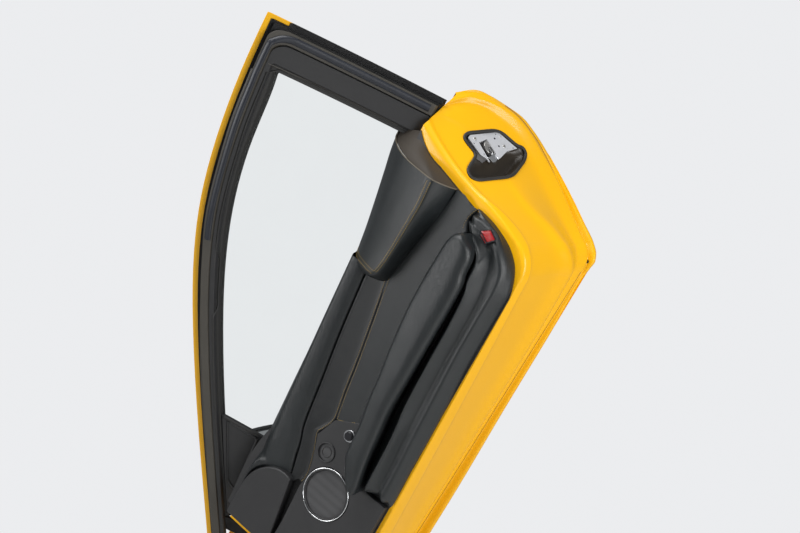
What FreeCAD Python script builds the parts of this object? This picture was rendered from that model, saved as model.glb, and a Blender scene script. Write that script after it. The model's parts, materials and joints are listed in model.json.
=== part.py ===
import FreeCAD, Part
import math
import os

# Upward-swinging right-hand door of a coupe, with its hinge bracket and gas strut. Millimetres.
# X runs rearward along the car, Y outboard, Z up. The hinge axis is the Y axis through the origin.
# The door is drawn closed and turned up to its open place at the end.

# Driving dimensions
open_angle = 58.0
wall = 3.0
seat = 0.3
overrun = 40.0
reach = 420.0
arc_chords = 7

# Side glass: a cylinder along X
glass_radius = 1870.0
glass_axis_y = -1515.0
glass_axis_z = -840.0
glass_thick = 4.0
glass_bottom_z = 120.0
glass_slot = 6.0

# Outer skin: height, and how far out the skin stands there as a share of its bulge
skin_belt_y = 60.0
skin_bulge_front = 82.0
skin_bulge_rear = 231.0
skin_bow = 6.0
skin_front_x = -90.0
skin_rear_x = 1320.0
skin_top_z = 230.0
skin_drop = 470.0
skin_upper_shares = [(0.0, -0.26), (0.19, 0.44), (0.45, 0.95)]
skin_lower_shares = [(0.45, 0.95), (0.7, 1.0), (1.0, 0.86)]
skin_hem = 14.0
skin_hem_gap = 5.0

# Skin edge in side view: belt, rear top corner, rear edge, sill and front edge
belt_front = (-60.0, 170.0)
belt_rear = (1228.0, 193.0)
tip_top = (1264.0, 192.0)
tip_rear = (1285.0, 174.0)
rear_edge = [(1287.0, 157.0), (1274.0, 94.0), (1238.0, 36.0)]
rear_foot = (1125.0, -165.0)
sill_rear = (1095.0, -192.0)
sill_front = (120.0, -217.0)
front_edge = [(120.0, -217.0), (20.0, -160.0), (-30.0, -45.0), (-60.0, 170.0)]

# Inner shell: its inner face outline near the cabin and its outline out at the flare depth
shell_front_x = 200.0
shell_flare = 300.0
shell_inner_top_front = (200.0, 150.0)
shell_inner_rear = [[(1188.0, 183.0), (1157.0, 115.0), (1126.0, 2.0)], [(1126.0, 2.0), (1116.0, -60.0), (1095.0, -118.0)],
                    [(1095.0, -118.0), (1075.0, -148.0), (1041.0, -163.0)]]
shell_inner_sill_front = (200.0, -182.0)
shell_outer_top_front = (200.0, 160.0)
shell_outer_rear = [[(1495.0, 200.0), (1363.0, 124.0), (1253.0, 38.0)], [(1253.0, 38.0), (1199.0, -24.0), (1117.0, -158.0)],
                    [(1117.0, -158.0), (1098.0, -182.0), (1066.0, -187.0)]]
shell_outer_sill_front = (200.0, -200.0)
panel_window = [[(330.0, -100.0), (330.0, 84.0)], [(330.0, 84.0), (1000.0, 116.0)],
                [(1000.0, 116.0), (1032.0, 20.0), (1000.0, -96.0)], [(1000.0, -96.0), (330.0, -100.0)]]

# Edge of the cabin trim on the inner shell
trim_front_x = 222.0
trim_top_front = (222.0, 148.0)
trim_rear = [[(1176.0, 180.0), (1150.0, 147.0), (1136.0, 104.0)], [(1136.0, 104.0), (1110.0, 10.0), (1093.0, -55.0)],
             [(1093.0, -55.0), (1061.0, -131.0), (992.0, -165.0)]]
trim_sill_front = (222.0, -170.0)
carrier_thick = 4.0
trim_back = -carrier_thick - 2 * seat
trim_gap = 1.0

# Belt pad: top edge and lower edge in side view, and how far it stands into the cabin
belt_pad_top = [(396.0, 172.0), (865.0, 189.0)]
belt_pad_foot = [(396.0, 72.0), (865.0, 136.0)]
belt_pad_proud = 20.0
belt_pad_edge = 9.0
belt_pad_roll = (14.0, 7.0)
pad_outboard = 60.0
glass_clear = 13.5
panel_top_rise = 0.0369
shelf_clear = 2.5

# Shoulder pad: stations along the car with top, stitched ridge and foot heights
shoulder_stations = [(868.0, 188.0, 102.0, 81.0, 44.0), (1112.0, 225.0, 79.0, 44.0, 62.0)]
shoulder_foot_proud = 12.0
shoulder_soften = 6.0
shoulder_swell_share = 0.62
shoulder_cap_end = (1158.0, 201.0, 109.0, 78.0, 15.5)

# Front arch cover, mid strip, insert panel and speaker panel in side view
arch_outline = [(222.0, 151.0), (273.0, 152.0), (345.0, 138.0), (385.0, 96.0), (388.0, 52.0)]
arch_foot = (222.0, 24.0)
arch_proud = 24.0
strip_top = [(392.0, 68.0), (866.0, 133.0)]
seam_front = [(392.0, 27.0), (425.0, 25.0), (474.0, 38.0), (509.0, 51.0)]
seam_kink = [(509.0, 51.0), (560.0, 32.0)]
seam_rear = [(560.0, 32.0), (690.0, 51.0), (866.0, 78.0)]
strip_proud = 8.0
insert_seam = [(560.0, 31.0), (588.0, -19.0)]
insert_foot_front = (588.0, -60.0)
insert_brow = [(872.0, 78.0), (1130.0, 40.3)]
insert_rear = [(1130.0, -24.0), (1066.0, -8.0), (1040.0, -60.0)]
insert_proud = 7.0
speaker_brow = [(236.0, 20.0), (300.0, 20.0), (386.0, 26.0)]
speaker_foot = [(586.0, -60.0), (478.0, -112.0), (478.0, -166.0), (236.0, -166.0)]
speaker_panel_front_proud = 30.0
speaker_panel_rear_proud = 9.0
speaker_centre = (415.0, -37.0)
speaker_radius = 57.0
speaker_ring_width = 4.0
speaker_ring_thick = 5.0
speaker_ring_proud = 2.0
tweeter_centre = (490.0, 11.0)
tweeter_radius = 20.0
tweeter_recess = 5.0
knob_centre = (553.0, -17.0)
knob_radius = 10.0
knob_ring_width = 3.0
knob_proud = 9.0
mesh_thick = 2.5

# Door lamp beside the shut face
lamp_centre = (1076.0, -70.0)
lamp_half = (10.5, 6.0)
lamp_rim = 2.0
lamp_thick = 4.0
lamp_proud = 1.2
lamp_turn = 117.0

# Armrest outline in side view, the pull pocket under its lip, and the moulding below
armrest_top = [(500.0, -64.0), (790.0, -16.0), (1046.0, -15.0)]
armrest_rear = [(1046.0, -15.0), (1069.0, -38.0), (1048.0, -72.0)]
armrest_under = [(1048.0, -72.0), (830.0, -92.0), (486.0, -108.0)]
armrest_front = [(486.0, -108.0), (473.0, -90.0), (500.0, -64.0)]
armrest_proud = 78.0
armrest_levels = [(0.0, 0.0), (0.78, 0.0), (0.93, 5.0), (1.0, 14.0)]
pocket_outline = [(520.0, -150.0), (520.0, -66.0), (560.0, -58.0), (1000.0, -52.0), (1030.0, -62.0), (1030.0, -150.0)]
pocket_lip_proud = 48.0
moulding_front = 479.5
moulding_end = 1110.0
moulding_rear_sweep = [[(trim_back, -176.0), (-34.0, -166.0), (-40.0, -140.0)],
                       [(-40.0, -140.0), (-37.0, -121.0), (-53.0, -98.0)]]
moulding_front_sweep = [[(trim_back, -178.0), (-34.0, -170.0), (-40.0, -152.0)],
                        [(-40.0, -152.0), (-37.0, -135.0), (-53.0, -116.0)]]
moulding_back_rise = 2.5
moulding_upright = [[(1024.0, -176.0), (1125.0, -176.0)], [(1125.0, -176.0), (1125.0, -24.0)],
                    [(1125.0, -24.0), (1066.0, -9.5)], [(1066.0, -9.5), (1080.0, -44.0), (1050.0, -77.0)],
                    [(1050.0, -77.0), (1024.0, -88.0)], [(1024.0, -88.0), (1024.0, -176.0)]]
moulding_upright_proud = 30.0

# Window frame: the roof rail's outer edge in side view and the upright post behind the glass
rail_line = [(60.0, 181.0), (259.0, 270.0), (541.0, 383.0), (816.0, 463.0), (1000.0, 487.0), (1130.0, 494.0)]
post_x = 1247.0
post_top_rise = 1.0
post_foot_z = 187.5
rail_zone = 48.0
post_zone = 100.0
rail_paint = 9.0
rail_gap = 0.8
rail_deep = 4.0
post_strip = 8.0
bar_step = (22.0, 12.0)
bar_step_deep = 6.0
bar_inner = (42.0, 85.0)
bar_groove = 35.0
seal_band = ((26.0, 16.0), (38.0, 40.0))
cover_band = ((39.0, 43.0), (47.0, 85.0))
sail_front = (170.0, 176.0)
sail_top = (399.0, 273.0)
sail_rear = (389.0, 187.0)
sail_deep = 10.0
sail_gap = 2.0
frame_deep = 16.0
frame_proud = 2.0
seal_deep = 8.0
band_deep = 6.0
corner_round = 26.0
corner_round_inner = 6.0
arc_middle_share = 0.29
rail_tip_drop = 36.0
glass_edge_hold = 8.0
run_deep = 8.0
frame_leg_front = 140.0
frame_leg_rear = 168.0
frame_leg_foot = 70.0
frame_leg_step = 146.0
frame_leg_layer = (-16.0, -4.3)

# Belt seals on both sides of the glass
glass_front_x = 378.0
outer_seal_line = [(384.0, 166.0), (1140.0, 184.0)]
outer_seal_high = 12.0
inner_seal_line = [(398.0, 163.0), (1108.0, 187.0)]
inner_seal_high = 9.0

# Latch on the shut face: its place as shares of the flare, then outlines in the face's own plane
latch_along_share = 0.695
latch_out_share = 0.385
latch_step = 0.01
cup_outline = [(-53.0, 56.0), (-38.0, 56.0), (27.0, 26.0), (40.0, 13.0), (52.0, -29.0), (63.0, -39.0), (60.0, -53.0),
               (42.0, -63.0), (-9.0, -70.0), (-30.0, -64.0), (-99.0, -31.0), (-111.0, -17.0), (-105.0, -1.0),
               (-58.0, 10.0), (-59.0, 49.0)]
cup_wall = 2.5
cup_lip = 1.5
cup_deep = 24.0
latch_outline = [(-47.0, 48.0), (-38.0, 50.0), (25.0, 22.0), (33.0, 15.0), (47.0, -33.0), (18.0, -24.0),
                 (-11.0, -26.0), (-42.0, -18.0), (-43.0, -8.0), (-49.0, 5.0)]
latch_plate_thick = 2.5
latch_plate_rise = 1.0
latch_body_inset = 4.0
latch_slot = [(-31.0, 27.0), (-7.0, 22.0), (-12.0, -10.0), (-20.0, -45.0), (-48.0, -45.0), (-38.0, -8.0)]
claw_centre = (-8.0, 4.0)
claw_radius = 17.0
claw_pocket = 18.5
claw_thick = 5.0
claw_notch = [(-6.0, 2.0), (-14.0, 8.0), (-46.0, -30.0), (-30.0, -42.0)]
drain_centre = (1080.0, -184.0)
drain_radius = 4.0

# Outside handle flap, flush with the skin
handle_outline = [(1040.0, 42.0), (1168.0, 52.0), (1174.0, 78.0), (1040.0, 68.0)]
handle_gap = 0.8
handle_cup_border = 9.0
handle_cup_thick = 10.0

# Door mirror: sections along the car as X, half width and half height, and its arm
mirror_centre = (188.0, 246.0)
mirror_stations = [(232.0, 46.0, 20.0), (340.0, 84.0, 42.0)]
mirror_bow = 3.0
mirror_rim = 5.0
mirror_recess = 12.0
mirror_glass_thick = 4.0
mirror_base_thick = 6.0
mirror_base_inset = 3.0
mirror_arm_root = [(246.0, 190.0), (322.0, 194.0), (322.0, 214.0), (246.0, 206.0)]
mirror_arm_tip = [(262.0, 222.0), (318.0, 224.0), (318.0, 238.0), (262.0, 234.0)]
mirror_arm_reach = (46.0, 124.0)

# Hinge: levels along the axis, from the bolt face outboard
bracket_thick = 10.0
boss_end = 18.0
arm_thick = 12.0
hub_end = 48.0
pin_radius = 10.9
pin_running_gap = 0.05
pin_head_radius = 19.0
pin_head_thick = 8.0
hub_radius = 34.0
arm_root_half = 30.0
bracket_half_x = 66.0
bracket_half_z = 84.0
bolt_spacing_x = 90.0
bolt_spacing_z = 120.0
bolt_hole_radius = 5.5
arm_flange_thick = 8.0
arm_flange_half_z = 62.0
arm_flange_y = (14.0, 92.0)

# Gas strut
strut_foot_z = -280.0
strut_foot_round = 26.0
strut_level = 40.0
strut_tube_radius = 11.0
strut_tube_length = 190.0
strut_rod_radius = 5.0
strut_rod_start = 120.0
strut_neck_radius = 7.0
strut_neck_start = 10.0
strut_tube_start = 28.0
strut_bore_start = 40.0
strut_pin_over = 3.0
strut_eye_radius = 12.0
strut_eye_thick = 14.0
strut_pin_radius = 6.0
strut_lug_radius = 90.0
strut_lug_angle = -10.0
strut_lug_round = 22.0


def turned(point, angle):
    # A side-view point swung up about the hinge axis
    c = math.cos(math.radians(angle))
    s = math.sin(math.radians(angle))
    return (point[0] * c - point[1] * s, point[0] * s + point[1] * c)


def edge_run(points, place):
    # A straight edge for two points, an arc for three, a smooth curve for more
    spots = [place(a, b) for a, b in points]
    if len(spots) == 2:
        return Part.LineSegment(spots[0], spots[1]).toShape()
    if len(spots) == 3:
        return Part.Arc(spots[0], spots[1], spots[2]).toShape()
    curve = Part.BSplineCurve()
    curve.interpolate(spots)
    return curve.toShape()


def side_wire(runs, y):
    return Part.Wire([edge_run(run, lambda a, b: FreeCAD.Vector(a, y, b)) for run in runs])


def cross_wire(runs, x):
    return Part.Wire([edge_run(run, lambda a, b: FreeCAD.Vector(x, a, b)) for run in runs])


def closed_runs(*runs):
    # Joins runs end to start with straight edges where they don't already meet
    joined = []
    for index, run in enumerate(runs):
        following = runs[(index + 1) % len(runs)]
        joined.append(list(run))
        if run[-1] != following[0]:
            joined.append([run[-1], following[0]])
    return joined


def prism(runs, y_low, y_high):
    face = Part.Face(side_wire(runs, y_low))
    return face.extrude(FreeCAD.Vector(0, y_high - y_low, 0))


def inset(runs, distance):
    # Each point of a closed outline moved inward along the bisector of its two neighbours
    sizes = [len(run) - 1 for run in runs]
    ring = [point for run in runs for point in run[:-1]]
    area = sum(ring[i - 1][0] * ring[i][1] - ring[i][0] * ring[i - 1][1] for i in range(len(ring)))
    side = 1.0 if area > 0 else -1.0
    moved = []
    for i, (px, pz) in enumerate(ring):
        before = ring[i - 1]
        after = ring[(i + 1) % len(ring)]
        normals = []
        for start, end in ((before, (px, pz)), ((px, pz), after)):
            length = math.hypot(end[0] - start[0], end[1] - start[1])
            normals.append((-(end[1] - start[1]) / length * side, (end[0] - start[0]) / length * side))
        nx = normals[0][0] + normals[1][0]
        nz = normals[0][1] + normals[1][1]
        scale = 2.0 * distance / max(nx * nx + nz * nz, 1.0)
        moved.append((px + nx * scale, pz + nz * scale))
    result = []
    at = 0
    for size in sizes:
        result.append([moved[(at + k) % len(moved)] for k in range(size + 1)])
        at += size
    return result


def offset_line(points, distance):
    # An open line moved down and inward by a distance
    moved = []
    for i, (px, pz) in enumerate(points):
        start = points[max(i - 1, 0)]
        end = points[min(i + 1, len(points) - 1)]
        length = math.hypot(end[0] - start[0], end[1] - start[1])
        moved.append((px + (end[1] - start[1]) / length * distance, pz - (end[0] - start[0]) / length * distance))
    return moved


def glass_layer(inner, outer):
    # The space between two offsets of the glass surface, positive outboard
    start = FreeCAD.Vector(-reach, glass_axis_y, glass_axis_z)
    length = skin_rear_x + 2 * reach
    along = FreeCAD.Vector(1, 0, 0)
    big = Part.makeCylinder(glass_radius + outer, length, start, along)
    small = Part.makeCylinder(glass_radius + inner, length, start, along)
    return big.cut(small)


def skin_section(bulge, bow, offset):
    # The skin's upper and lower arcs, which meet at the body's shoulder crease
    return [[(skin_belt_y + bow + bulge * out - offset, skin_top_z - skin_drop * down) for down, out in shares]
            for shares in (skin_upper_shares, skin_lower_shares)]


def skin_slab(outer_offset, inner_offset):
    # The space between two offsets of the outer skin, measured inboard along Y
    sections = []
    middle_bulge = (skin_bulge_front + skin_bulge_rear) / 2
    stations = [(skin_front_x, skin_bulge_front, 0.0), ((skin_front_x + skin_rear_x) / 2, middle_bulge, skin_bow),
                (skin_rear_x, skin_bulge_rear, 0.0)]
    for x, bulge, bow in stations:
        outer = skin_section(bulge, bow, outer_offset)
        if inner_offset is None:
            inner = [[(-reach, outer[1][-1][1]), (-reach, outer[0][0][1])]]
        else:
            inner = [run[::-1] for run in skin_section(bulge, bow, inner_offset)[::-1]]
        sections.append(cross_wire(closed_runs(*outer, *inner), x))
    return Part.makeLoft(sections, True, True)


def stepped(runs):
    # The same outline with each arc drawn as short chords, so that a twisted side meshes with few facets
    chords = []
    for run in runs:
        if len(run) == 3:
            arc = edge_run(run, lambda a, b: FreeCAD.Vector(a, b, 0))
            spots = [(spot.x, spot.y) for spot in arc.discretize(arc_chords + 1)]
            spots[0], spots[-1] = run[0], run[-1]
        else:
            spots = run
        chords += [list(pair) for pair in zip(spots, spots[1:])]
    return chords


def loft_along(stations):
    # A solid through cross sections, each given as its X and its closed runs
    return Part.makeLoft([cross_wire(stepped(runs), x) for x, runs in stations], True, True)


def cylinder_y(radius, y_low, y_high, x=0.0, z=0.0):
    return Part.makeCylinder(radius, y_high - y_low, FreeCAD.Vector(x, y_low, z), FreeCAD.Vector(0, 1, 0))


def skin_edge():
    return closed_runs([belt_front, belt_rear], [belt_rear, tip_top], [tip_top, tip_rear], rear_edge,
                       [rear_edge[-1], rear_foot], [rear_foot, sill_rear], [sill_rear, sill_front], front_edge)


def trim_edge():
    return closed_runs([trim_top_front, trim_rear[0][0]], *trim_rear, [trim_sill_front, trim_top_front])


def shell_inner_edge():
    return closed_runs([shell_inner_top_front, shell_inner_rear[0][0]], *shell_inner_rear,
                       [shell_inner_sill_front, shell_inner_top_front])


def shell_outer_edge():
    return closed_runs([shell_outer_top_front, shell_outer_rear[0][0]], *shell_outer_rear,
                       [shell_outer_sill_front, shell_outer_top_front])


def flared(inner_runs, outer_runs, y_start):
    wires = [side_wire(inner_runs, y_start), side_wire(outer_runs, shell_flare)]
    return Part.makeLoft(wires, True, True)


def make_outer_skin():
    edge = skin_edge()
    skin = skin_slab(0.0, wall).common(prism(edge, -reach, reach))
    hem_outline = prism(edge, -reach, reach).cut(prism(inset(edge, skin_hem), -reach, reach))
    hem = skin_slab(wall, 2 * wall).common(hem_outline)
    handle_hole = prism(inset(polygon_runs(handle_outline), -handle_gap), -reach, reach)
    return skin.fuse(hem).cut(handle_hole).removeSplitter()


def make_inner_shell():
    # A pressed pan whose flared walls end in a flange against the skin, with a wing ahead of the pan
    body = flared(shell_inner_edge(), shell_outer_edge(), 0.0)
    hollow = flared(inset(shell_inner_edge(), wall), inset(shell_outer_edge(), wall), wall)
    flange = skin_slab(-overrun, 3 * wall + seat)
    flange = flange.cut(prism(inset(skin_edge(), skin_hem + 2 * wall), -reach, reach))
    metal = body.fuse(flange).cut(hollow)
    inboard = skin_slab(2 * wall + seat, None)
    shell = metal.common(inboard).common(prism(inset(skin_edge(), skin_hem_gap), -reach, reach))
    shell = shell.cut(prism(panel_window, -overrun, wall * 2))
    slot = glass_layer(-glass_thick - glass_slot, glass_slot)
    shell = shell.cut(slot.common(glass_zone()))
    shell = shell.cut(on_shut_face(prism(inset(polygon_runs(cup_outline), -seat), -overrun, overrun)))
    return shell.cut(cylinder_y(drain_radius, overrun, reach, *drain_centre))


def frame_line(rail_inset, post_inset, rounding):
    # Roof rail line and post line at given insets, as runs with a rounded corner
    rail = offset_line(rail_line, rail_inset)
    x = post_x - post_inset
    top = rail_line[-1][1] + post_top_rise - rail_inset
    if rounding > 0:
        middle = rounding * arc_middle_share
        bend = [(x - rounding, top), (x - middle, top - middle), (x, top - rounding)]
        return [rail + [bend[0]], bend, [bend[-1], (x, post_foot_z)]]
    return [rail + [(x, top)], [(x, top), (x, post_foot_z)]]


def frame_ring(outer, inner):
    outer_runs = frame_line(*outer)
    inner_runs = [run[::-1] for run in frame_line(*inner)[::-1]]
    return closed_runs(*(outer_runs + inner_runs))


def glass_outline():
    runs = frame_line(rail_zone - glass_edge_hold, post_zone - glass_edge_hold, corner_round / 2)
    foot = (runs[-1][-1][0], glass_bottom_z)
    return closed_runs(runs[0], *runs[1:-1], [runs[-1][0], foot], [(shell_front_x + overrun, glass_bottom_z),
                       (shell_front_x + overrun, post_foot_z)])


def glass_zone():
    # Where the glass stands in side view, behind the sail panel
    ahead = Part.makeBox(reach, 2 * reach, 2 * reach, FreeCAD.Vector(glass_front_x - reach, -reach, -reach))
    return prism(glass_outline(), -reach, reach).cut(ahead)


def make_window_glass():
    return glass_layer(-glass_thick, 0.0).common(glass_zone())


def raised_band(line, height):
    # A band in side view standing on a straight line
    (x_low, z_low), (x_high, z_high) = line
    return prism(polygon_runs([(x_low, z_low), (x_high, z_high), (x_high, z_high + height), (x_low, z_low + height)]),
                 -reach, reach)


def make_outer_belt_seal():
    # Fills the gap between the glass and the skin's top edge
    gap = skin_slab(3 * wall + 2 * seat, None).common(glass_layer(seat, reach))
    return gap.common(raised_band(outer_seal_line, outer_seal_high))


def make_inner_belt_seal():
    strip = glass_layer(-glass_clear + seat, -glass_thick - seat)
    return strip.common(raised_band(inner_seal_line, inner_seal_high))


def tip_foot():
    return rail_line[-1][1] + post_top_rise - rail_tip_drop


def frame_band(outer, inner, roundings, low, high):
    # A band of the window frame between two insets, each with its corner's rounding, and two depths from the glass
    ring = frame_ring((*outer, roundings[0]), (*inner, roundings[1]))
    return glass_layer(low, high).common(prism(ring, -reach, reach))


def make_roof_rail():
    runs = frame_ring((0.0, 0.0, 0.0), (rail_paint, post_strip, 0.0))
    rail = glass_layer(-rail_deep, frame_proud).common(prism(runs, -reach, reach))
    start = FreeCAD.Vector(post_x - post_zone, -reach, tip_foot() - reach)
    return rail.cut(Part.makeBox(reach, 2 * reach, reach, start))


def make_frame_bar():
    # A folded section: a thin outer lip, a deeper box inside it and a groove for the glass run
    sharp = (0.0, 0.0)
    bar = frame_band((rail_paint + rail_gap, 0.0), bar_inner, sharp, -frame_deep, frame_proud)
    step = frame_band((-overrun, -overrun), bar_step, sharp, -2 * frame_deep, -bar_step_deep)
    groove = frame_band((bar_groove, bar_inner[1] + seat / 2), (rail_zone, post_zone), sharp,
                        -glass_thick - run_deep - seat, 2 * frame_proud)
    corner = FreeCAD.Vector(post_x - post_strip - rail_gap, -reach, tip_foot() - rail_gap)
    bar = bar.cut(step).cut(groove).cut(Part.makeBox(reach, 2 * reach, reach, corner))
    seat_x = shell_front_x - seat
    top = shell_inner_top_front[1] + overrun
    leg = prism(polygon_runs([(frame_leg_front, frame_leg_foot), (seat_x, frame_leg_foot), (seat_x, frame_leg_step),
                              (frame_leg_rear, frame_leg_step), (frame_leg_rear, top), (frame_leg_front, top)]),
                -reach, reach)
    return bar.fuse(glass_layer(*frame_leg_layer).common(leg)).removeSplitter()


def make_frame_seal():
    back = -frame_deep - seat
    return frame_band(*seal_band, (corner_round, corner_round), back - seal_deep, back)


def make_post_cover():
    back = -frame_deep - seat
    return frame_band(*cover_band, (corner_round, corner_round_inner), back - band_deep, back)


def make_glass_run():
    run = frame_band((bar_groove + seat, bar_inner[1] + seat), (rail_zone, post_zone),
                     (corner_round_inner, corner_round_inner), -glass_thick - run_deep, frame_proud)
    groove = glass_layer(-glass_thick - seat, seat).common(glass_zone())
    ahead = Part.makeBox(reach, 2 * reach, 2 * reach, FreeCAD.Vector(frame_leg_rear + seat - reach, -reach, -reach))
    return run.cut(groove).cut(ahead)


def sail_outline():
    # A triangle whose long side follows the glass run
    middle = offset_line(rail_line, rail_zone + sail_gap)[1]
    return closed_runs([sail_front, middle, sail_top], [sail_rear, sail_front])


def make_sail_panel():
    return glass_layer(-glass_thick - sail_deep, -glass_thick - seat).common(prism(sail_outline(), -reach, reach))


def make_trim_carrier():
    carrier = prism(trim_edge(), -seat - carrier_thick, -seat)
    return carrier.cut(prism(panel_window, -reach, overrun))


def panel_top_z(x):
    # Top of the inner shell's cabin face at a place along the car
    return shell_inner_top_front[1] + (x - shell_front_x) * panel_top_rise


def inboard_of_glass(shape):
    return shape.cut(glass_layer(-glass_clear, pad_outboard * 2))


def capped_runs(x, top, foot, foot_proud, *face_runs):
    # A pad's section: over the shell's top edge, down the carrier's face, and round its cabin face
    shelf = panel_top_z(x) + shelf_clear
    return closed_runs([(-foot_proud, foot), (trim_back, foot)], [(trim_back, foot), (trim_back, shelf)],
                       [(trim_back, shelf), (pad_outboard, shelf)], [(pad_outboard, shelf), (pad_outboard, top)],
                       *face_runs)


def make_belt_pad():
    stations = []
    for (x, top), (_, foot) in zip(belt_pad_top, belt_pad_foot):
        middle = (top + foot) / 2
        brow = (0.0, top - belt_pad_roll[1])
        face = [brow, (-belt_pad_proud, middle + belt_pad_proud), (-belt_pad_edge, foot)]
        crest = [(pad_outboard, top), (belt_pad_roll[0], top)]
        stations.append((x, capped_runs(x, top, foot, belt_pad_edge, crest, [crest[-1], brow], face)))
    return inboard_of_glass(loft_along(stations))


def shoulder_section(station):
    x, top, ridge, foot, proud = station
    brow = (0.0, top - shoulder_soften)
    upper = [brow, (-proud * shoulder_swell_share, (top + ridge) / 2 + shoulder_soften), (-proud, ridge)]
    lower = [(-proud, ridge), (-proud * shoulder_swell_share, (ridge + foot) / 2 - shoulder_soften),
             (-shoulder_foot_proud, foot)]
    return (x, capped_runs(x, top, foot, shoulder_foot_proud, [(pad_outboard, top), brow], upper, lower))


def make_shoulder_pad():
    return inboard_of_glass(loft_along([shoulder_section(station) for station in shoulder_stations]))


def make_shoulder_cap():
    near = shoulder_section(shoulder_stations[-1])
    far = shoulder_section(shoulder_cap_end)
    return inboard_of_glass(loft_along([(near[0] + seat, near[1]), far])).common(prism(inset(trim_edge(), trim_gap), -reach, reach))


def trim_plate(runs, proud):
    # A trim piece standing off the carrier by a given height
    return prism(runs, trim_back - proud, trim_back)


def make_front_arch_cover():
    return trim_plate(closed_runs(arch_outline, [arch_foot, arch_outline[0]]), arch_proud)


def make_mid_strip():
    return trim_plate(closed_runs(strip_top, seam_rear[::-1], seam_kink[::-1], seam_front[::-1]), strip_proud)


def make_insert_panel():
    outline = closed_runs(offset_line(seam_rear, trim_gap), insert_brow, insert_rear[:2],
                          insert_rear[1:], [insert_foot_front, insert_seam[1]], insert_seam[::-1])
    return trim_plate(outline, insert_proud).common(prism(inset(trim_edge(), trim_gap), -reach, reach))


def speaker_face_y(x):
    # The speaker panel's face leans out of the cabin towards the rear
    share = (x - speaker_brow[0][0]) / (speaker_foot[0][0] - speaker_brow[0][0])
    return trim_back - speaker_panel_front_proud + (speaker_panel_front_proud - speaker_panel_rear_proud) * share


def on_speaker_face(shape, centre):
    # Places a piece drawn at the origin, its back on Y = 0, on the leaning face
    run = speaker_foot[0][0] - speaker_brow[0][0]
    lean = math.degrees(math.atan2(speaker_panel_front_proud - speaker_panel_rear_proud, run))
    shape.rotate(FreeCAD.Vector(0, 0, 0), FreeCAD.Vector(0, 0, 1), lean)
    shape.translate(FreeCAD.Vector(centre[0], speaker_face_y(centre[0]), centre[1]))
    return shape


def speaker_runs(margin):
    joint = [(x - trim_gap, z) for x, z in insert_seam]
    outline = closed_runs(speaker_brow[:2], speaker_brow[1:], offset_line(seam_front, trim_gap), joint,
                          [joint[1], speaker_foot[0]], speaker_foot[:2], speaker_foot[1:3], speaker_foot[2:],
                          [speaker_foot[-1], speaker_brow[0]])
    return inset(outline, margin)


def speaker_wedge(margin):
    # The leaning slab that the speaker panel is cut from
    front_x = speaker_brow[0][0] - overrun
    rear_x = speaker_foot[0][0] + overrun
    wedge = Part.makePolygon([FreeCAD.Vector(x, y, -reach) for x, y in (
        (front_x, trim_back), (front_x, speaker_face_y(front_x) - margin),
        (rear_x, speaker_face_y(rear_x) - margin), (rear_x, trim_back), (front_x, trim_back))])
    return Part.Face(wedge).extrude(FreeCAD.Vector(0, 0, 2 * reach))


def make_speaker_panel():
    panel = speaker_wedge(0.0).common(prism(speaker_runs(0.0), -reach, reach))
    well = on_speaker_face(cylinder_y(tweeter_radius + seat, -overrun, tweeter_recess), tweeter_centre)
    mouth = on_speaker_face(cylinder_y(speaker_radius + seat, -overrun, speaker_ring_thick), speaker_centre)
    return panel.cut(well).cut(mouth)


def make_tweeter_grille():
    return on_speaker_face(cylinder_y(tweeter_radius, tweeter_recess - mesh_thick - seat, tweeter_recess - seat),
                           tweeter_centre)


def make_speaker_grille():
    grille = cylinder_y(speaker_radius - speaker_ring_width - seat, speaker_ring_thick - mesh_thick - seat,
                        speaker_ring_thick - seat)
    return on_speaker_face(grille, speaker_centre)


def ring_piece(radius, width, y_low, y_high):
    return cylinder_y(radius, y_low, y_high).cut(cylinder_y(radius - width, y_low - overrun, y_high + overrun))


def make_speaker_ring():
    ring = ring_piece(speaker_radius, speaker_ring_width, -speaker_ring_proud, speaker_ring_thick - seat)
    return on_speaker_face(ring, speaker_centre)


def make_knob_ring():
    ring = ring_piece(knob_radius + knob_ring_width, knob_ring_width, -knob_proud / 2, -seat)
    return on_speaker_face(ring, knob_centre)


def make_control_knob():
    return on_speaker_face(cylinder_y(knob_radius - seat, -knob_proud, -seat), knob_centre)


def polygon_runs(points):
    return [[point, points[(i + 1) % len(points)]] for i, point in enumerate(points)]


def rounded_block(half_x, half_z, y_low, y_high, rounding):
    block = Part.makeBox(2 * half_x, y_high - y_low, 2 * half_z, FreeCAD.Vector(-half_x, y_low, -half_z))
    uprights = [edge for edge in block.Edges if abs(edge.tangentAt(edge.FirstParameter).y) > 0.5]
    return block.makeFillet(rounding, uprights)


def crowned(runs, levels):
    # A pad whose outline draws in at each level, given as its Y and its inset
    return Part.makeLoft([side_wire(inset(runs, draw), y) for y, draw in levels], True, True)


def make_armrest():
    # A padded bolster on the insert, crowned towards the cabin, with the pull pocket cut in under its lip
    runs = closed_runs(armrest_top, armrest_rear, armrest_under, armrest_front)
    root = trim_back - insert_proud - seat
    depth = armrest_proud + root
    rest = crowned(runs, [(root - depth * share, draw) for share, draw in armrest_levels])
    rest = rest.cut(prism(polygon_runs(pocket_outline), -pocket_lip_proud, reach))
    rest = rest.cut(lamp_block(lamp_rim + 2 * seat, -reach, reach))
    return rest.cut(speaker_wedge(seat).common(prism(speaker_runs(-seat), -reach, reach)))


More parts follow.
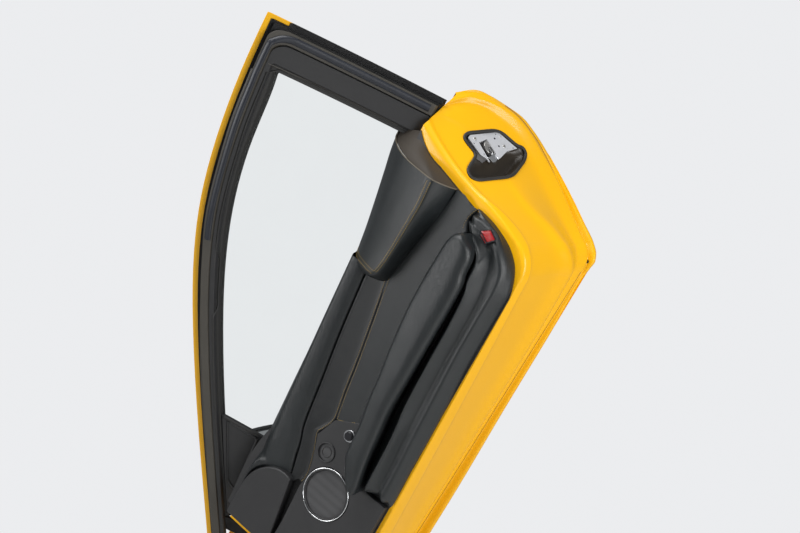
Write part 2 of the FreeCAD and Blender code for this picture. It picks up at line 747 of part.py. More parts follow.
def make_lower_moulding():
    # A sill panel whose bulge, valley and ridge run under the armrest and turn up beside the shut face
    stations = []
    for x, sweep in ((moulding_front, moulding_front_sweep), (moulding_end, moulding_rear_sweep)):
        lip = sweep[-1][-1]
        stations.append((x, closed_runs(*sweep, [lip, (trim_back, lip[1] + moulding_back_rise)])))
    sill = loft_along(stations)
    upright = trim_plate(moulding_upright, moulding_upright_proud)
    moulding = sill.fuse(upright).common(prism(inset(trim_edge(), trim_gap), -reach, reach))
    return moulding.cut(lamp_block(lamp_rim + seat, -reach, reach))


def beside_shut_face(shape):
    # Places a lamp piece drawn at the origin, turned to the run of the trim edge
    shape.rotate(FreeCAD.Vector(0, 0, 0), FreeCAD.Vector(0, 1, 0), lamp_turn)
    shape.translate(FreeCAD.Vector(lamp_centre[0], 0, lamp_centre[1]))
    return shape


def lamp_block(grow, y_low, y_high):
    return beside_shut_face(rounded_block(lamp_half[0] + grow, lamp_half[1] + grow, y_low, y_high, lamp_rim / 2))


def make_lamp_bezel():
    face = trim_back - moulding_upright_proud
    rim = lamp_block(lamp_rim, face - lamp_proud, face + lamp_thick)
    return rim.cut(lamp_block(seat, -reach, reach))


def make_door_lamp():
    face = trim_back - moulding_upright_proud
    return lamp_block(0.0, face, face + lamp_thick)


def spot_on(points, share):
    edge = edge_run(points, lambda a, b: FreeCAD.Vector(a, 0, b))
    return edge.valueAt(edge.FirstParameter + (edge.LastParameter - edge.FirstParameter) * share)


def shut_face_spot(share_along, share_out):
    inner = spot_on(shell_inner_rear[0], share_along)
    outer = spot_on(shell_outer_rear[0], share_along) + FreeCAD.Vector(0, shell_flare, 0)
    return inner + (outer - inner) * share_out


def on_shut_face(shape):
    # Lays a piece drawn at the origin on the latch's place: X outboard along the face, Z up it, Y into it
    centre = shut_face_spot(latch_along_share, latch_out_share)
    out = shut_face_spot(latch_along_share, latch_out_share + latch_step) - centre
    up = shut_face_spot(latch_along_share - latch_step, latch_out_share) - centre
    turn = FreeCAD.Rotation(out, up.cross(out), up, "XZY")
    return shape.transformed(FreeCAD.Placement(centre, turn).toMatrix())


def make_latch_cup():
    # A moulded well through the shut face whose lip follows the pressed metal
    outline = polygon_runs(cup_outline)
    well = prism(outline, -overrun, cup_deep).cut(prism(inset(outline, cup_wall), -2 * overrun, cup_deep - cup_wall))
    outside = flared(inset(shell_inner_edge(), -cup_lip), inset(shell_outer_edge(), -cup_lip), 0.0)
    return on_shut_face(well).common(outside)


def make_latch_plate():
    # The zinc face plate and the body behind it, slotted for the striker
    outline = polygon_runs(latch_outline)
    back = latch_plate_thick - latch_plate_rise
    plate = prism(outline, -latch_plate_rise, back)
    body = prism(inset(outline, latch_body_inset), back, cup_deep - cup_wall - seat)
    latch = plate.fuse(body).cut(prism(polygon_runs(latch_slot), -overrun, overrun))
    pocket = cylinder_y(claw_pocket, back, back + claw_thick + 2 * seat, *claw_centre)
    return on_shut_face(latch.cut(pocket).removeSplitter())


def make_latch_claw():
    start = latch_plate_thick - latch_plate_rise + seat
    claw = cylinder_y(claw_radius, start, start + claw_thick, *claw_centre)
    return on_shut_face(claw.cut(prism(polygon_runs(claw_notch), -overrun, overrun)))


def make_outer_handle():
    return skin_slab(0.0, wall).common(prism(polygon_runs(handle_outline), -reach, reach))


def make_handle_cup():
    border = inset(polygon_runs(handle_outline), -handle_cup_border)
    return skin_slab(wall + seat, wall + handle_cup_thick).common(prism(border, -reach, reach))


def bowed_runs(half_y, half_z, bow):
    # A box section whose four sides bow outward
    cy, cz = mirror_centre
    corners = [(cy - half_y, cz - half_z), (cy + half_y, cz - half_z), (cy + half_y, cz + half_z),
               (cy - half_y, cz + half_z)]
    middles = [(cy, cz - half_z - bow), (cy + half_y + bow, cz), (cy, cz + half_z + bow), (cy - half_y - bow, cz)]
    return [[corners[i], middles[i], corners[(i + 1) % 4]] for i in range(4)]


def mirror_body(grow):
    return loft_along([(x, bowed_runs(half_y + grow, half_z + grow, mirror_bow)) for x, half_y, half_z in mirror_stations])


def make_mirror_housing():
    x, half_y, half_z = mirror_stations[-1]
    runs = bowed_runs(half_y - mirror_rim, half_z - mirror_rim, mirror_bow)
    return mirror_body(0.0).cut(loft_along([(x - mirror_recess, runs), (x + overrun, runs)]))


def make_mirror_glass():
    x, half_y, half_z = mirror_stations[-1]
    runs = bowed_runs(half_y - mirror_rim - 2 * seat, half_z - mirror_rim - 2 * seat, mirror_bow)
    start = x - mirror_recess + seat
    return loft_along([(start, runs), (start + mirror_glass_thick, runs)])


def make_mirror_arm():
    # An outer cover for the sail with the arm that carries the housing
    outline = inset(sail_outline(), mirror_base_inset)
    base = glass_layer(-glass_thick, mirror_base_thick).common(prism(outline, -reach, reach))
    behind = Part.makeBox(reach, 2 * reach, 2 * reach, FreeCAD.Vector(glass_front_x - seat, -reach, -reach))
    arm = Part.makeLoft([side_wire(polygon_runs(points), y) for points, y in
                         zip((mirror_arm_root, mirror_arm_tip), mirror_arm_reach)], True, True)
    return base.cut(behind).fuse(arm.cut(mirror_body(seat))).removeSplitter()


def make_hinge_bracket():
    plate = prism(closed_runs([(-bracket_half_x, bracket_half_z), (bracket_half_x, bracket_half_z)],
                              [(bracket_half_x, -bracket_half_z), (strut_foot_round, strut_foot_z)],
                              [(-strut_foot_round, strut_foot_z), (-bracket_half_x, -bracket_half_z)]),
                  0.0, bracket_thick)
    plate = plate.fuse(cylinder_y(strut_foot_round, 0.0, bracket_thick, 0.0, strut_foot_z))
    plate = plate.fuse(cylinder_y(hub_radius, bracket_thick, boss_end))
    plate = plate.cut(cylinder_y(pin_radius, -overrun, boss_end + overrun))
    for sx in (-0.5, 0.5):
        for sz in (-0.5, 0.5):
            hole = cylinder_y(bolt_hole_radius, -overrun, overrun, sx * bolt_spacing_x, sz * bolt_spacing_z)
            plate = plate.cut(hole)
    stud = cylinder_y(strut_pin_radius, bracket_thick, strut_level + strut_eye_thick, 0.0, strut_foot_z)
    return plate.fuse(stud).removeSplitter()


def make_hinge_pin():
    pin = cylinder_y(pin_radius, seat, hub_end + seat)
    head = cylinder_y(pin_head_radius, hub_end + seat, hub_end + seat + pin_head_thick)
    return pin.fuse(head)


def make_hinge_arm():
    level = boss_end + seat
    hub = cylinder_y(hub_radius, level, hub_end)
    lug = turned((strut_lug_radius, 0.0), strut_lug_angle)
    face_x = shell_front_x - seat
    web_x = face_x - arm_flange_thick / 2
    web = prism(closed_runs([(0.0, arm_root_half), (web_x, arm_flange_half_z)],
                            [(web_x, -arm_flange_half_z), (lug[0], lug[1] - strut_lug_round)],
                            [(0.0, -arm_root_half), (0.0, arm_root_half)]), level, level + arm_thick)
    flange = Part.makeBox(arm_flange_thick, arm_flange_y[1] - arm_flange_y[0], 2 * arm_flange_half_z,
                          FreeCAD.Vector(face_x - arm_flange_thick, arm_flange_y[0], -arm_flange_half_z))
    rib = Part.makeBox(face_x - hub_radius + arm_thick, hub_end - level, arm_thick,
                       FreeCAD.Vector(hub_radius - arm_thick, level, arm_thick))
    arm = hub.fuse([web, flange, rib])
    return arm.cut(cylinder_y(pin_radius + pin_running_gap, -overrun, hub_end + overrun)).removeSplitter()


def strut_ends():
    # Foot and lug places with the door open
    return (0.0, strut_foot_z), turned((strut_lug_radius, 0.0), strut_lug_angle + open_angle)


def make_strut_cylinder():
    foot, lug = strut_ends()
    span = math.hypot(lug[0] - foot[0], lug[1] - foot[1])
    along = FreeCAD.Vector((lug[0] - foot[0]) / span, 0, (lug[1] - foot[1]) / span)
    base = FreeCAD.Vector(foot[0], strut_level, foot[1])
    eye = cylinder_y(strut_eye_radius, strut_level - strut_eye_thick / 2, strut_level + strut_eye_thick / 2, *foot)
    neck = Part.makeCylinder(strut_neck_radius, strut_bore_start - strut_neck_start, base + along * strut_neck_start,
                             along)
    tube = Part.makeCylinder(strut_tube_radius, strut_tube_length, base + along * strut_tube_start, along)
    bore = Part.makeCylinder(strut_rod_radius + pin_running_gap, reach, base + along * strut_bore_start, along)
    body = eye.fuse([neck, tube]).cut(bore)
    pin = cylinder_y(strut_pin_radius + pin_running_gap, -overrun, reach, *foot)
    return body.cut(pin)


def make_strut_rod():
    foot, lug = strut_ends()
    span = math.hypot(lug[0] - foot[0], lug[1] - foot[1])
    along = FreeCAD.Vector((lug[0] - foot[0]) / span, 0, (lug[1] - foot[1]) / span)
    base = FreeCAD.Vector(foot[0], strut_level, foot[1])
    rod = Part.makeCylinder(strut_rod_radius, span - strut_rod_start, base + along * strut_rod_start, along)
    eye = cylinder_y(strut_eye_radius, strut_level - strut_eye_thick / 2, strut_level + strut_eye_thick / 2, *lug)
    face = boss_end + seat + arm_thick + seat
    pin = cylinder_y(strut_pin_radius, face, strut_level + strut_eye_thick / 2 + strut_pin_over, *lug)
    return rod.fuse([eye, pin]).removeSplitter()


door_pieces = {
    "outer_skin": make_outer_skin,
    "inner_shell": make_inner_shell,
    "roof_rail": make_roof_rail,
    "frame_bar": make_frame_bar,
    "frame_seal": make_frame_seal,
    "post_cover": make_post_cover,
    "glass_run": make_glass_run,
    "window_glass": make_window_glass,
    "sail_panel": make_sail_panel,
    "trim_carrier": make_trim_carrier,
    "belt_pad": make_belt_pad,
    "shoulder_pad": make_shoulder_pad,
    "shoulder_cap": make_shoulder_cap,
    "front_arch_cover": make_front_arch_cover,
    "mid_strip": make_mid_strip,
    "insert_panel": make_insert_panel,
    "speaker_panel": make_speaker_panel,
    "tweeter_grille": make_tweeter_grille,
    "speaker_grille": make_speaker_grille,
    "speaker_ring": make_speaker_ring,
    "knob_ring": make_knob_ring,
    "control_knob": make_control_knob,
    "lamp_bezel": make_lamp_bezel,
    "door_lamp": make_door_lamp,
    "armrest": make_armrest,
    "lower_moulding": make_lower_moulding,
    "outer_belt_seal": make_outer_belt_seal,
    "inner_belt_seal": make_inner_belt_seal,
    "latch_cup": make_latch_cup,
    "latch_plate": make_latch_plate,
    "latch_claw": make_latch_claw,
    "outer_handle": make_outer_handle,
    "handle_cup": make_handle_cup,
    "mirror_arm": make_mirror_arm,
    "mirror_housing": make_mirror_housing,
    "mirror_glass": make_mirror_glass,
    "hinge_arm": make_hinge_arm,
}
fixed_pieces = {
    "hinge_bracket": make_hinge_bracket,
    "hinge_pin": make_hinge_pin,
    "strut_cylinder": make_strut_cylinder,
    "strut_rod": make_strut_rod,
}


def write(name, shape):
    solids = shape.Solids
    box = shape.BoundBox
    print(name, len(solids), "solids", round(shape.Volume / 1000.0), "cm3", "valid" if shape.isValid() else "INVALID",
          [round(v) for v in (box.XMin, box.YMin, box.ZMin, box.XMax, box.YMax, box.ZMax)])
    whole = solids[0] if len(solids) == 1 else Part.makeCompound(solids)
    whole.exportStep(os.path.join("parts", name + ".step"))


os.makedirs("parts", exist_ok=True)
for piece_name, maker in door_pieces.items():
    door_shape = maker()
    door_shape.rotate(FreeCAD.Vector(0, 0, 0), FreeCAD.Vector(0, 1, 0), -open_angle)
    write(piece_name, door_shape)
for piece_name, maker in fixed_pieces.items():
    write(piece_name, maker())
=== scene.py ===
# %% [markdown]
# # A coupe door, raised on its hinge
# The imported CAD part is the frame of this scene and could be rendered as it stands. Fine pressing,
# leather and thread need more faces than a CAD part should carry, so this script dresses it cell by
# cell: first the tools and the finishes, then the metal, the latch, the cabin trim and the window
# frame, and last the light, the floor and the camera.

# %% Loading the CAD part
import bisect
import json
import math
import bpy
import bmesh
from mathutils import Vector, Matrix
from mathutils.bvhtree import BVHTree


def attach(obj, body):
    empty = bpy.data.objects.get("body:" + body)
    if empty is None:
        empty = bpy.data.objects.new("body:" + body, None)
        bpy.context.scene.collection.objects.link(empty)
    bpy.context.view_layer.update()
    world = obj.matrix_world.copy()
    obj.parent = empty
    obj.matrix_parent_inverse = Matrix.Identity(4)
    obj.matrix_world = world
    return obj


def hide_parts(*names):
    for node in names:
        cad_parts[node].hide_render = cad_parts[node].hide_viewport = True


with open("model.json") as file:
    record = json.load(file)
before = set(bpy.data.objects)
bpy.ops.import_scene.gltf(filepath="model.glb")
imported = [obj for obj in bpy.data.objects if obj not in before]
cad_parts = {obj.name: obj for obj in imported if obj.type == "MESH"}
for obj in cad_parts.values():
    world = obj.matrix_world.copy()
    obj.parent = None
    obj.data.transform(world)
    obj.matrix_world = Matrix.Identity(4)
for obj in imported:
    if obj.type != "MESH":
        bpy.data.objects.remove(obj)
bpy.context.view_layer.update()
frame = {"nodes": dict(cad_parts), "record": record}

# %% [markdown]
# The real door swings up about a pin at its front. It could be drawn where it ends up, but heights
# and lengths are easier to judge on a closed door. So everything is drawn closed, in millimetres,
# with X rearward, Y outboard and Z up, and `raised` swings it up by 58 degrees, as the CAD does.

# %% Raising the door
OPEN = math.radians(58.0)
MM = 0.001


def turned(x, y, z):
    """A direction, or a point in metres, after the door is raised."""
    return Vector((x * math.cos(OPEN) - z * math.sin(OPEN), y, x * math.sin(OPEN) + z * math.cos(OPEN)))


def raised(spot):
    """A point in millimetres on the closed door, in metres on the raised one."""
    return turned(*(Vector(spot) * MM))


def closed(spot):
    """A point of the raised door back on the closed one, in millimetres."""
    x, y, z = spot * 1000
    return Vector((x * math.cos(OPEN) + z * math.sin(OPEN), y, z * math.cos(OPEN) - x * math.sin(OPEN)))


print("a metre along the door rises by", round(raised((1000, 0, 0)).z, 3), "m")

# %% [markdown]
# ## Writing materials as arithmetic
# A material is a graph of nodes, which could be added and wired one by one. Here a `Value` wraps a
# socket, and plus, minus and times add the math node, so that a finish reads like a formula.

# %% Sockets that can be summed
class Value:
    """One output socket that can be added, subtracted and multiplied."""

    def __init__(self, finish, socket):
        self.finish, self.socket = finish, socket

    def math(self, operation, first, second):
        return self.finish.node("ShaderNodeMath", {"operation": operation}, **{"0": first, "1": second})

    def __add__(self, other):
        return self.math("ADD", self, other)

    def __sub__(self, other):
        return self.math("SUBTRACT", self, other)

    def __rsub__(self, other):
        return self.math("SUBTRACT", other, self)

    def __mul__(self, other):
        return self.math("MULTIPLY", self, other)

    __radd__, __rmul__ = __add__, __mul__


print("sockets can be summed")

# %% [markdown]
# `Finish` starts a material and adds its nodes. Its patterns read Object coordinates, which are
# metres on the door itself, so a grain has its real size and rides along when the door moves.

# %% A finish and its nodes
class Finish:
    """A material and short ways to add nodes to it."""

    def __init__(self, name):
        self.material = bpy.data.materials.new(name)
        self.material.use_nodes = True
        self.tree = self.material.node_tree
        self.tree.nodes.clear()
        self.place = self.node("ShaderNodeTexCoord", out="Object")

    def node(self, kind, settings=None, out=0, **inputs):
        """Adds a node, sets or links its inputs by name or number, and returns one output."""
        added = self.tree.nodes.new(kind)
        for key, value in (settings or {}).items():
            setattr(added, key, value)
        for key, value in inputs.items():
            socket = added.inputs[int(key)] if key.isdigit() else added.inputs[key.replace("_", " ")]
            if isinstance(value, Value):
                self.tree.links.new(value.socket, socket)
            else:
                socket.default_value = value
        return Value(self, added.outputs[out])

    def noise(self, scale, detail=3.0, roughness=0.5, stretch=None):
        where = self.place
        if stretch:
            where = self.node("ShaderNodeMapping", Vector=self.place, Scale=stretch)
        return self.node("ShaderNodeTexNoise", Vector=where, Scale=scale, Detail=detail, Roughness=roughness)

    def cells(self, scale, feature="F1", **more):
        return self.node("ShaderNodeTexVoronoi", {"feature": feature}, "Distance", Vector=self.place,
                         Scale=scale, **more)

    def ramp(self, value, start, stop):
        """Rises from 0 to 1 as the value goes from start to stop."""
        return self.node("ShaderNodeMapRange", Value=value, From_Min=start, From_Max=stop)

    def blend(self, factor, first, second):
        """Mixes two colours."""
        return self.node("ShaderNodeMix", {"data_type": "RGBA"}, 2, **{"0": factor, "6": first, "7": second})

    def bump(self, height, strength, distance):
        return self.node("ShaderNodeBump", Height=height, Strength=strength, Distance=distance)

    def shown(self, shader):
        """Joins a shader to the output and returns the finished material."""
        output = self.tree.nodes.new("ShaderNodeOutputMaterial")
        self.tree.links.new(shader.socket, output.inputs["Surface"])
        return self.material

    def surface(self, **inputs):
        """The finished material of a plain surface. Words joined by underscores name its inputs."""
        return self.shown(self.node("ShaderNodeBsdfPrincipled", **inputs))


print("finishes can be made")

# %% [markdown]
# ## The finishes
# The skin and the shut face are sprayed a glossy yellow. One flat colour would look like plastic, so
# the paint's tint drifts a little over the panel, fine dust dulls its gloss in patches, and a very
# shallow ripple breaks the reflections.

# %% Yellow paint
def yellow_paint():
    f = Finish("yellow_paint")
    dust = f.noise(60.0, 6.0, 0.7)
    specks = 1 - f.ramp(f.cells(900.0), 0.0, 0.25)
    colour = f.blend(f.noise(3.0, 2.0), (0.80, 0.40, 0.0008, 1), (0.87, 0.45, 0.002, 1))
    colour = f.blend(specks * 0.05, colour, (0.55, 0.42, 0.20, 1))
    ripple = f.bump(f.noise(420.0, 2.0), 0.05, 0.001)
    return f.surface(Base_Color=colour, Roughness=dust * 0.12 + 0.30, Specular_IOR_Level=0.3,
                     Coat_Weight=0.22, Coat_Roughness=0.10, Normal=ripple)


yellow = yellow_paint()
print(yellow.name, "has", len(yellow.node_tree.nodes), "nodes")

# %% [markdown]
# Trim plastic and leather have a grain, and the seals are duller rubber. An image could give the
# grain, but cells do it without one: the distance to a cell's edge is the height of the grain.

# %% Plastic, rubber and leather
def grained(name, colour, worn, grains, rough, strength):
    """A moulded surface with so many grains to a metre, worn to a second colour in patches."""
    f = Finish(name)
    grain = f.ramp(f.cells(grains, "DISTANCE_TO_EDGE"), 0.0, 0.35)
    patches = f.noise(25.0, 4.0, 0.6)
    return f.surface(Base_Color=f.blend(patches * 0.7, colour, worn), Roughness=patches * 0.16 + rough,
                     Normal=f.bump(grain, strength, 0.0003))


black_trim = grained("black_trim", (0.014, 0.014, 0.015, 1), (0.022, 0.022, 0.023, 1), 1100.0, 0.42, 0.14)
frame_coat = grained("frame_coat", (0.019, 0.017, 0.014, 1), (0.030, 0.027, 0.023, 1), 1500.0, 0.36, 0.06)
rubber = grained("rubber", (0.012, 0.012, 0.012, 1), (0.026, 0.025, 0.023, 1), 2400.0, 0.50, 0.2)
leather = grained("leather", (0.010, 0.012, 0.013, 1), (0.017, 0.020, 0.021, 1), 620.0, 0.25, 0.5)
dark_leather = grained("dark_leather", (0.005, 0.006, 0.0065, 1), (0.009, 0.010, 0.011, 1), 620.0, 0.30, 0.4)
cup_plastic = grained("cup_plastic", (0.022, 0.016, 0.010, 1), (0.036, 0.027, 0.016, 1), 900.0, 0.30, 0.2)
flap_rubber = grained("flap_rubber", (0.040, 0.036, 0.029, 1), (0.062, 0.056, 0.046, 1), 1800.0, 0.42, 0.15)
# The round seal's rubber is tinted a little blue. That tint is a painted bluish sheen of the light it
# catches.
seal_rubber_blue_sheen = grained("seal_rubber_blue_sheen", (0.010, 0.012, 0.018, 1), (0.016, 0.019, 0.027, 1), 2400.0, 0.32, 0.1)
welt_rubber = grained("welt_rubber", (0.10, 0.085, 0.060, 1), (0.14, 0.12, 0.085, 1), 1800.0, 0.40, 0.1)
cap_rubber = grained("cap_rubber", (0.030, 0.023, 0.016, 1), (0.042, 0.033, 0.023, 1), 1800.0, 0.62, 0.15)
# A dark ochre for the line at the hem's fold. It is painted shade, not a colour of the paint.
hem_fold_shade = grained("hem_fold_shade", (0.22, 0.085, 0.002, 1), (0.30, 0.13, 0.004, 1), 900.0, 0.5, 0.1)
print("plastic, rubber and leather are ready")

# %% [markdown]
# The metal parts are plated, painted or chromed. Each mixes two tints in a cloud and carries fine
# scratches along one axis, which a stretched noise gives more cheaply than modelled ones.

# %% Metals
def metal(name, colour, second, rough, scale=140.0, metallic=1.0):
    f = Finish(name)
    cloud = f.noise(scale, 5.0, 0.7)
    scratches = f.noise(900.0, 2.0, 0.5, (1.0, 0.06, 1.0))
    return f.surface(Base_Color=f.blend(cloud, colour, second), Metallic=metallic,
                     Roughness=cloud * 0.18 + rough, Normal=f.bump(scratches, 0.08, 0.0002))


zinc = metal("zinc", (0.55, 0.54, 0.52, 1), (0.72, 0.70, 0.66, 1), 0.28)
silver = metal("silver", (0.64, 0.65, 0.68, 1), (0.80, 0.81, 0.84, 1), 0.30, 140.0, 0.55)
chrome = metal("chrome", (0.75, 0.76, 0.78, 1), (0.85, 0.86, 0.87, 1), 0.06)
black_steel = metal("black_steel", (0.020, 0.020, 0.022, 1), (0.040, 0.040, 0.043, 1), 0.32, 140.0, 0.3)
black_gloss = metal("black_gloss", (0.012, 0.012, 0.014, 1), (0.022, 0.022, 0.025, 1), 0.12, 60.0, 0.0)
mirror = metal("mirror_glass", (0.86, 0.88, 0.88, 1), (0.90, 0.91, 0.91, 1), 0.02, 8.0)
print(zinc.name, "and", chrome.name, "are ready")

# %% [markdown]
# Last come the woven mesh over the speakers, the red lens of the lamp and the window. Glass that
# bends light would need more samples, so the pane mixes a clear shader with a faint gloss.

# %% Mesh, lens and glass
def woven_mesh():
    f = Finish("speaker_mesh")
    holes = f.ramp(f.cells(900.0, Randomness=0.25), 0.15, 0.4)
    return f.surface(Base_Color=f.blend(holes, (0.004, 0.004, 0.004, 1), (0.050, 0.050, 0.052, 1)),
                     Roughness=f.noise(30.0) * 0.15 + 0.5, Normal=f.bump(holes, 0.3, 0.0004))


def red_lens():
    f = Finish("red_lens")
    prisms = f.cells(420.0, Randomness=0.0)
    return f.surface(Base_Color=f.blend(prisms, (0.42, 0.004, 0.006, 1), (0.20, 0.0, 0.003, 1)),
                     Roughness=f.noise(80.0) * 0.1 + 0.12, Coat_Weight=1.0,
                     Normal=f.bump(prisms, 0.5, 0.001))


def clear_glass():
    """Almost clear, with a faint film and a sheen that grows at a grazing view."""
    f = Finish("clear_glass")
    film = f.noise(14.0, 4.0, 0.6)
    shine = f.node("ShaderNodeBsdfPrincipled", Base_Color=(0.03, 0.04, 0.04, 1),
                   Roughness=film * 0.04 + 0.02)
    through = f.node("ShaderNodeBsdfTransparent", Color=(0.975, 0.985, 0.982, 1))
    share = f.node("ShaderNodeLayerWeight", Blend=0.15) * 0.18 + film * 0.01
    return f.shown(f.node("ShaderNodeMixShader", **{"0": share, "1": through, "2": shine}))


mesh_cloth, red, glass = woven_mesh(), red_lens(), clear_glass()
print("mesh, lens and glass are ready")

# %% [markdown]
# ## Shaping tools
# Every curved piece follows lines through a few points. Blender's curve objects could draw them, but
# a formula can be asked for any point. A `Curve` is walked by its length, from 0 to 1.

# %% Smooth lines
RUNS = 10


def between(spots, t):
    """A point between the middle two of four spots, on a smooth curve through them."""
    a, b, c, d = spots
    return 0.5 * (2 * b + (c - a) * t + (2 * a - 5 * b + 4 * c - d) * t * t
                  + (3 * b - a - 3 * c + d) * t ** 3)


class Curve:
    """A smooth line through points, or a closed ring of them, with RUNS straight runs between two."""

    def __init__(self, points, ring=False):
        points = [Vector(p) for p in points]
        first, last = 2 * points[0] - points[1], 2 * points[-1] - points[-2]
        line = [points[-1]] + points + points[:2] if ring else [first] + points + [last]
        self.spots = [between(four, step / RUNS) for four in zip(line, line[1:], line[2:], line[3:])
                      for step in range(RUNS)] + [line[-2]]
        self.run = [0.0]
        for a, b in zip(self.spots, self.spots[1:]):
            self.run.append(self.run[-1] + (b - a).length)
        self.length = self.run[-1]

    def __call__(self, t):
        want = min(max(t, 0.0), 1.0) * self.length
        at = min(max(bisect.bisect_right(self.run, want), 1), len(self.run) - 1)
        step = self.run[at] - self.run[at - 1]
        return self.spots[at - 1].lerp(self.spots[at], (want - self.run[at - 1]) / step if step else 0.0)


print("a line over a 20 mm hump is", round(Curve([(0, 0, 0), (50, 0, 20), (100, 0, 0)]).length), "mm long")

# %% [markdown]
# Each piece starts as Blender's own grid, and a formula tells every vertex where it belongs, which
# gives even faces on any shape. `sheet` leaves it open, `tube` joins its long edges and closes its
# ends, and `lofted` runs smoothly through several lines. Lines set close together make a crease.

# %% Sheets and tubes
def sheet(columns, rows, spot):
    """A grid whose vertex at shares u and v lies at spot(u, v) on the closed door."""
    bm = bmesh.new()
    bmesh.ops.create_grid(bm, x_segments=columns, y_segments=rows, size=0.5)
    for vertex in bm.verts:
        vertex.co = raised(spot(vertex.co.x + 0.5, vertex.co.y + 0.5))
    return bm


def tube(columns, rows, spot):
    """The same grid, closed round v and capped at both ends of u."""
    bm = sheet(columns, rows, spot)
    bmesh.ops.remove_doubles(bm, verts=bm.verts, dist=1e-6)
    bmesh.ops.holes_fill(bm, edges=[edge for edge in bm.edges if edge.is_boundary], sides=0)
    return bm


def lofted(rows):
    """The formula of a sheet through several lines, smooth in both directions."""
    lines = [row if isinstance(row, Curve) else Curve(row) for row in rows]
    last = len(lines) - 1

    def spot(u, v):
        k = min(int(v * last), last - 1)
        return between([lines[min(max(j, 0), last)](u) for j in range(k - 1, k + 3)], v * last - k)

    return spot


square = lofted([[(0, 0, 0), (9, 0, 0)], [(0, 0, 9), (9, 0, 9)]])
print("the middle of a 9 mm square is at", tuple(square(0.5, 0.5)))

# %% [markdown]
# A mesh becomes a piece of the door in one place, so that none misses a step. `piece` turns its normals
# outward, smooths its faces, keeps edges sharp where they bend sharply, and gives it the finish, the body it
# rides on and the CAD nodes that it stands for.

# %% Making a piece
slot_of = {part["node"]: part["material_slot"] for part in frame["record"]["subparts"]}
body_of = {node: body for body, nodes in frame["record"]["behaviour"]["bodies"].items() for node in nodes}
made = []


def piece(name, bm, finish, stands_for=(), body="door", crease=38.0, thick=0.0,
          bevel=0.0):
    """A finished object. Its wall and bevel are in millimetres and its crease is in degrees."""
    bmesh.ops.recalc_face_normals(bm, faces=bm.faces)
    for face in bm.faces:
        face.smooth = True
    for edge in bm.edges:
        edge.smooth = len(edge.link_faces) == 2 and edge.calc_face_angle() < math.radians(crease)
    mesh = bpy.data.meshes.new(name)
    bm.to_mesh(mesh)
    bm.free()
    mesh.materials.append(finish)
    thing = bpy.data.objects.new(name, mesh)
    bpy.context.scene.collection.objects.link(thing)
    if thick:
        shell = thing.modifiers.new("thickness", "SOLIDIFY")
        shell.thickness, shell.offset = abs(thick) * MM, math.copysign(1.0, thick)
    if bevel:
        soft = thing.modifiers.new("edges", "BEVEL")
        soft.width, soft.segments, soft.limit_method = bevel * MM, 2, "ANGLE"
        soft.angle_limit = math.radians(crease)
    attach(thing, body)
    if stands_for:
        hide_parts(*stands_for)
    made.append(thing)
    return thing


print("pieces can be made for", len(body_of), "nodes")

# %% [markdown]
# ## Dressing the CAD nodes
# Each node takes the finish of the record's slot. Its mesh is loose triangles and looks faceted, so
# `smoothed` makes a copy with merged vertices, smooth faces and soft edges that stands for it.

# %% Finishes for the nodes
FINISHES = {
    "yellow_paint": yellow, "black_trim": black_trim, "black_paint": black_gloss, "leather": leather,
    "rubber": rubber, "glass": glass, "mirror_glass": mirror, "steel": zinc, "black_steel": black_steel,
    "chrome": chrome, "speaker_fabric": mesh_cloth, "black_gloss": black_gloss, "red_lens": red,
}


def smoothed(node, crease=30.0, bevel=0.0, finish=None, cut=None):
    """A merged and smoothed copy of a CAD node, without the faces that `cut` picks."""
    bm = bmesh.new()
    bm.from_mesh(frame["nodes"][node].data)
    bmesh.ops.remove_doubles(bm, verts=bm.verts, dist=2e-6)
    if cut:
        bmesh.ops.delete(bm, geom=[face for face in bm.faces if cut(face)], context="FACES")
    bmesh.ops.dissolve_limit(bm, angle_limit=math.radians(0.5), verts=bm.verts, edges=bm.edges)
    return piece(node + "_smooth", bm, finish or FINISHES[slot_of[node]], (node,), body=body_of[node],
                 crease=crease, bevel=bevel)


for name, node in frame["nodes"].items():
    node.data.materials.clear()
    node.data.materials.append(FINISHES[slot_of[name]])
print("dressed", len(slot_of), "nodes")

# %% [markdown]
# ## The yellow shell
# The shut face is the pressed wall that the real door closes with. Drawn point by point it would be
# lumpy, so it is ruled as in the CAD, between an outline at the cabin and one 300 mm outboard, each
# three arcs and a straight sill. `wall` walks it: `t` from 0 at the belt to 3 at the foot of the
# corner and 4 at the front of the sill, `s` from the cabin outward.

# %% The ruled wall
def arc(points, share):
    """A point on the circle through three points of the side view."""
    (ax, az), (bx, bz), (cx, cz) = points
    twice = 2 * (ax * (bz - cz) + bx * (cz - az) + cx * (az - bz))
    squares = [ax * ax + az * az, bx * bx + bz * bz, cx * cx + cz * cz]
    ox = (squares[0] * (bz - cz) + squares[1] * (cz - az) + squares[2] * (az - bz)) / twice
    oz = (squares[0] * (cx - bx) + squares[1] * (ax - cx) + squares[2] * (bx - ax)) / twice
    start = math.atan2(az - oz, ax - ox)
    sweep = (math.atan2(cz - oz, cx - ox) - start + math.pi) % (2 * math.pi) - math.pi
    angle, radius = start + sweep * share, math.hypot(ax - ox, az - oz)
    return Vector((ox + radius * math.cos(angle), oz + radius * math.sin(angle)))


CABIN = [[(1188, 183), (1157, 115), (1126, 2)], [(1126, 2), (1116, -60), (1095, -118)],
         [(1095, -118), (1075, -148), (1041, -163)]]
OUTER = [[(1495, 200), (1363, 124), (1253, 38)], [(1253, 38), (1199, -24), (1117, -158)],
         [(1117, -158), (1098, -182), (1066, -187)]]
SILL = [((1041, -163), (200, -182)), ((1066, -187), (200, -200))]
WALL_DEEP, FOOT, FRONT = 300.0, 3.0, 4.0
STEP_T, STEP_S = 0.15, 0.02


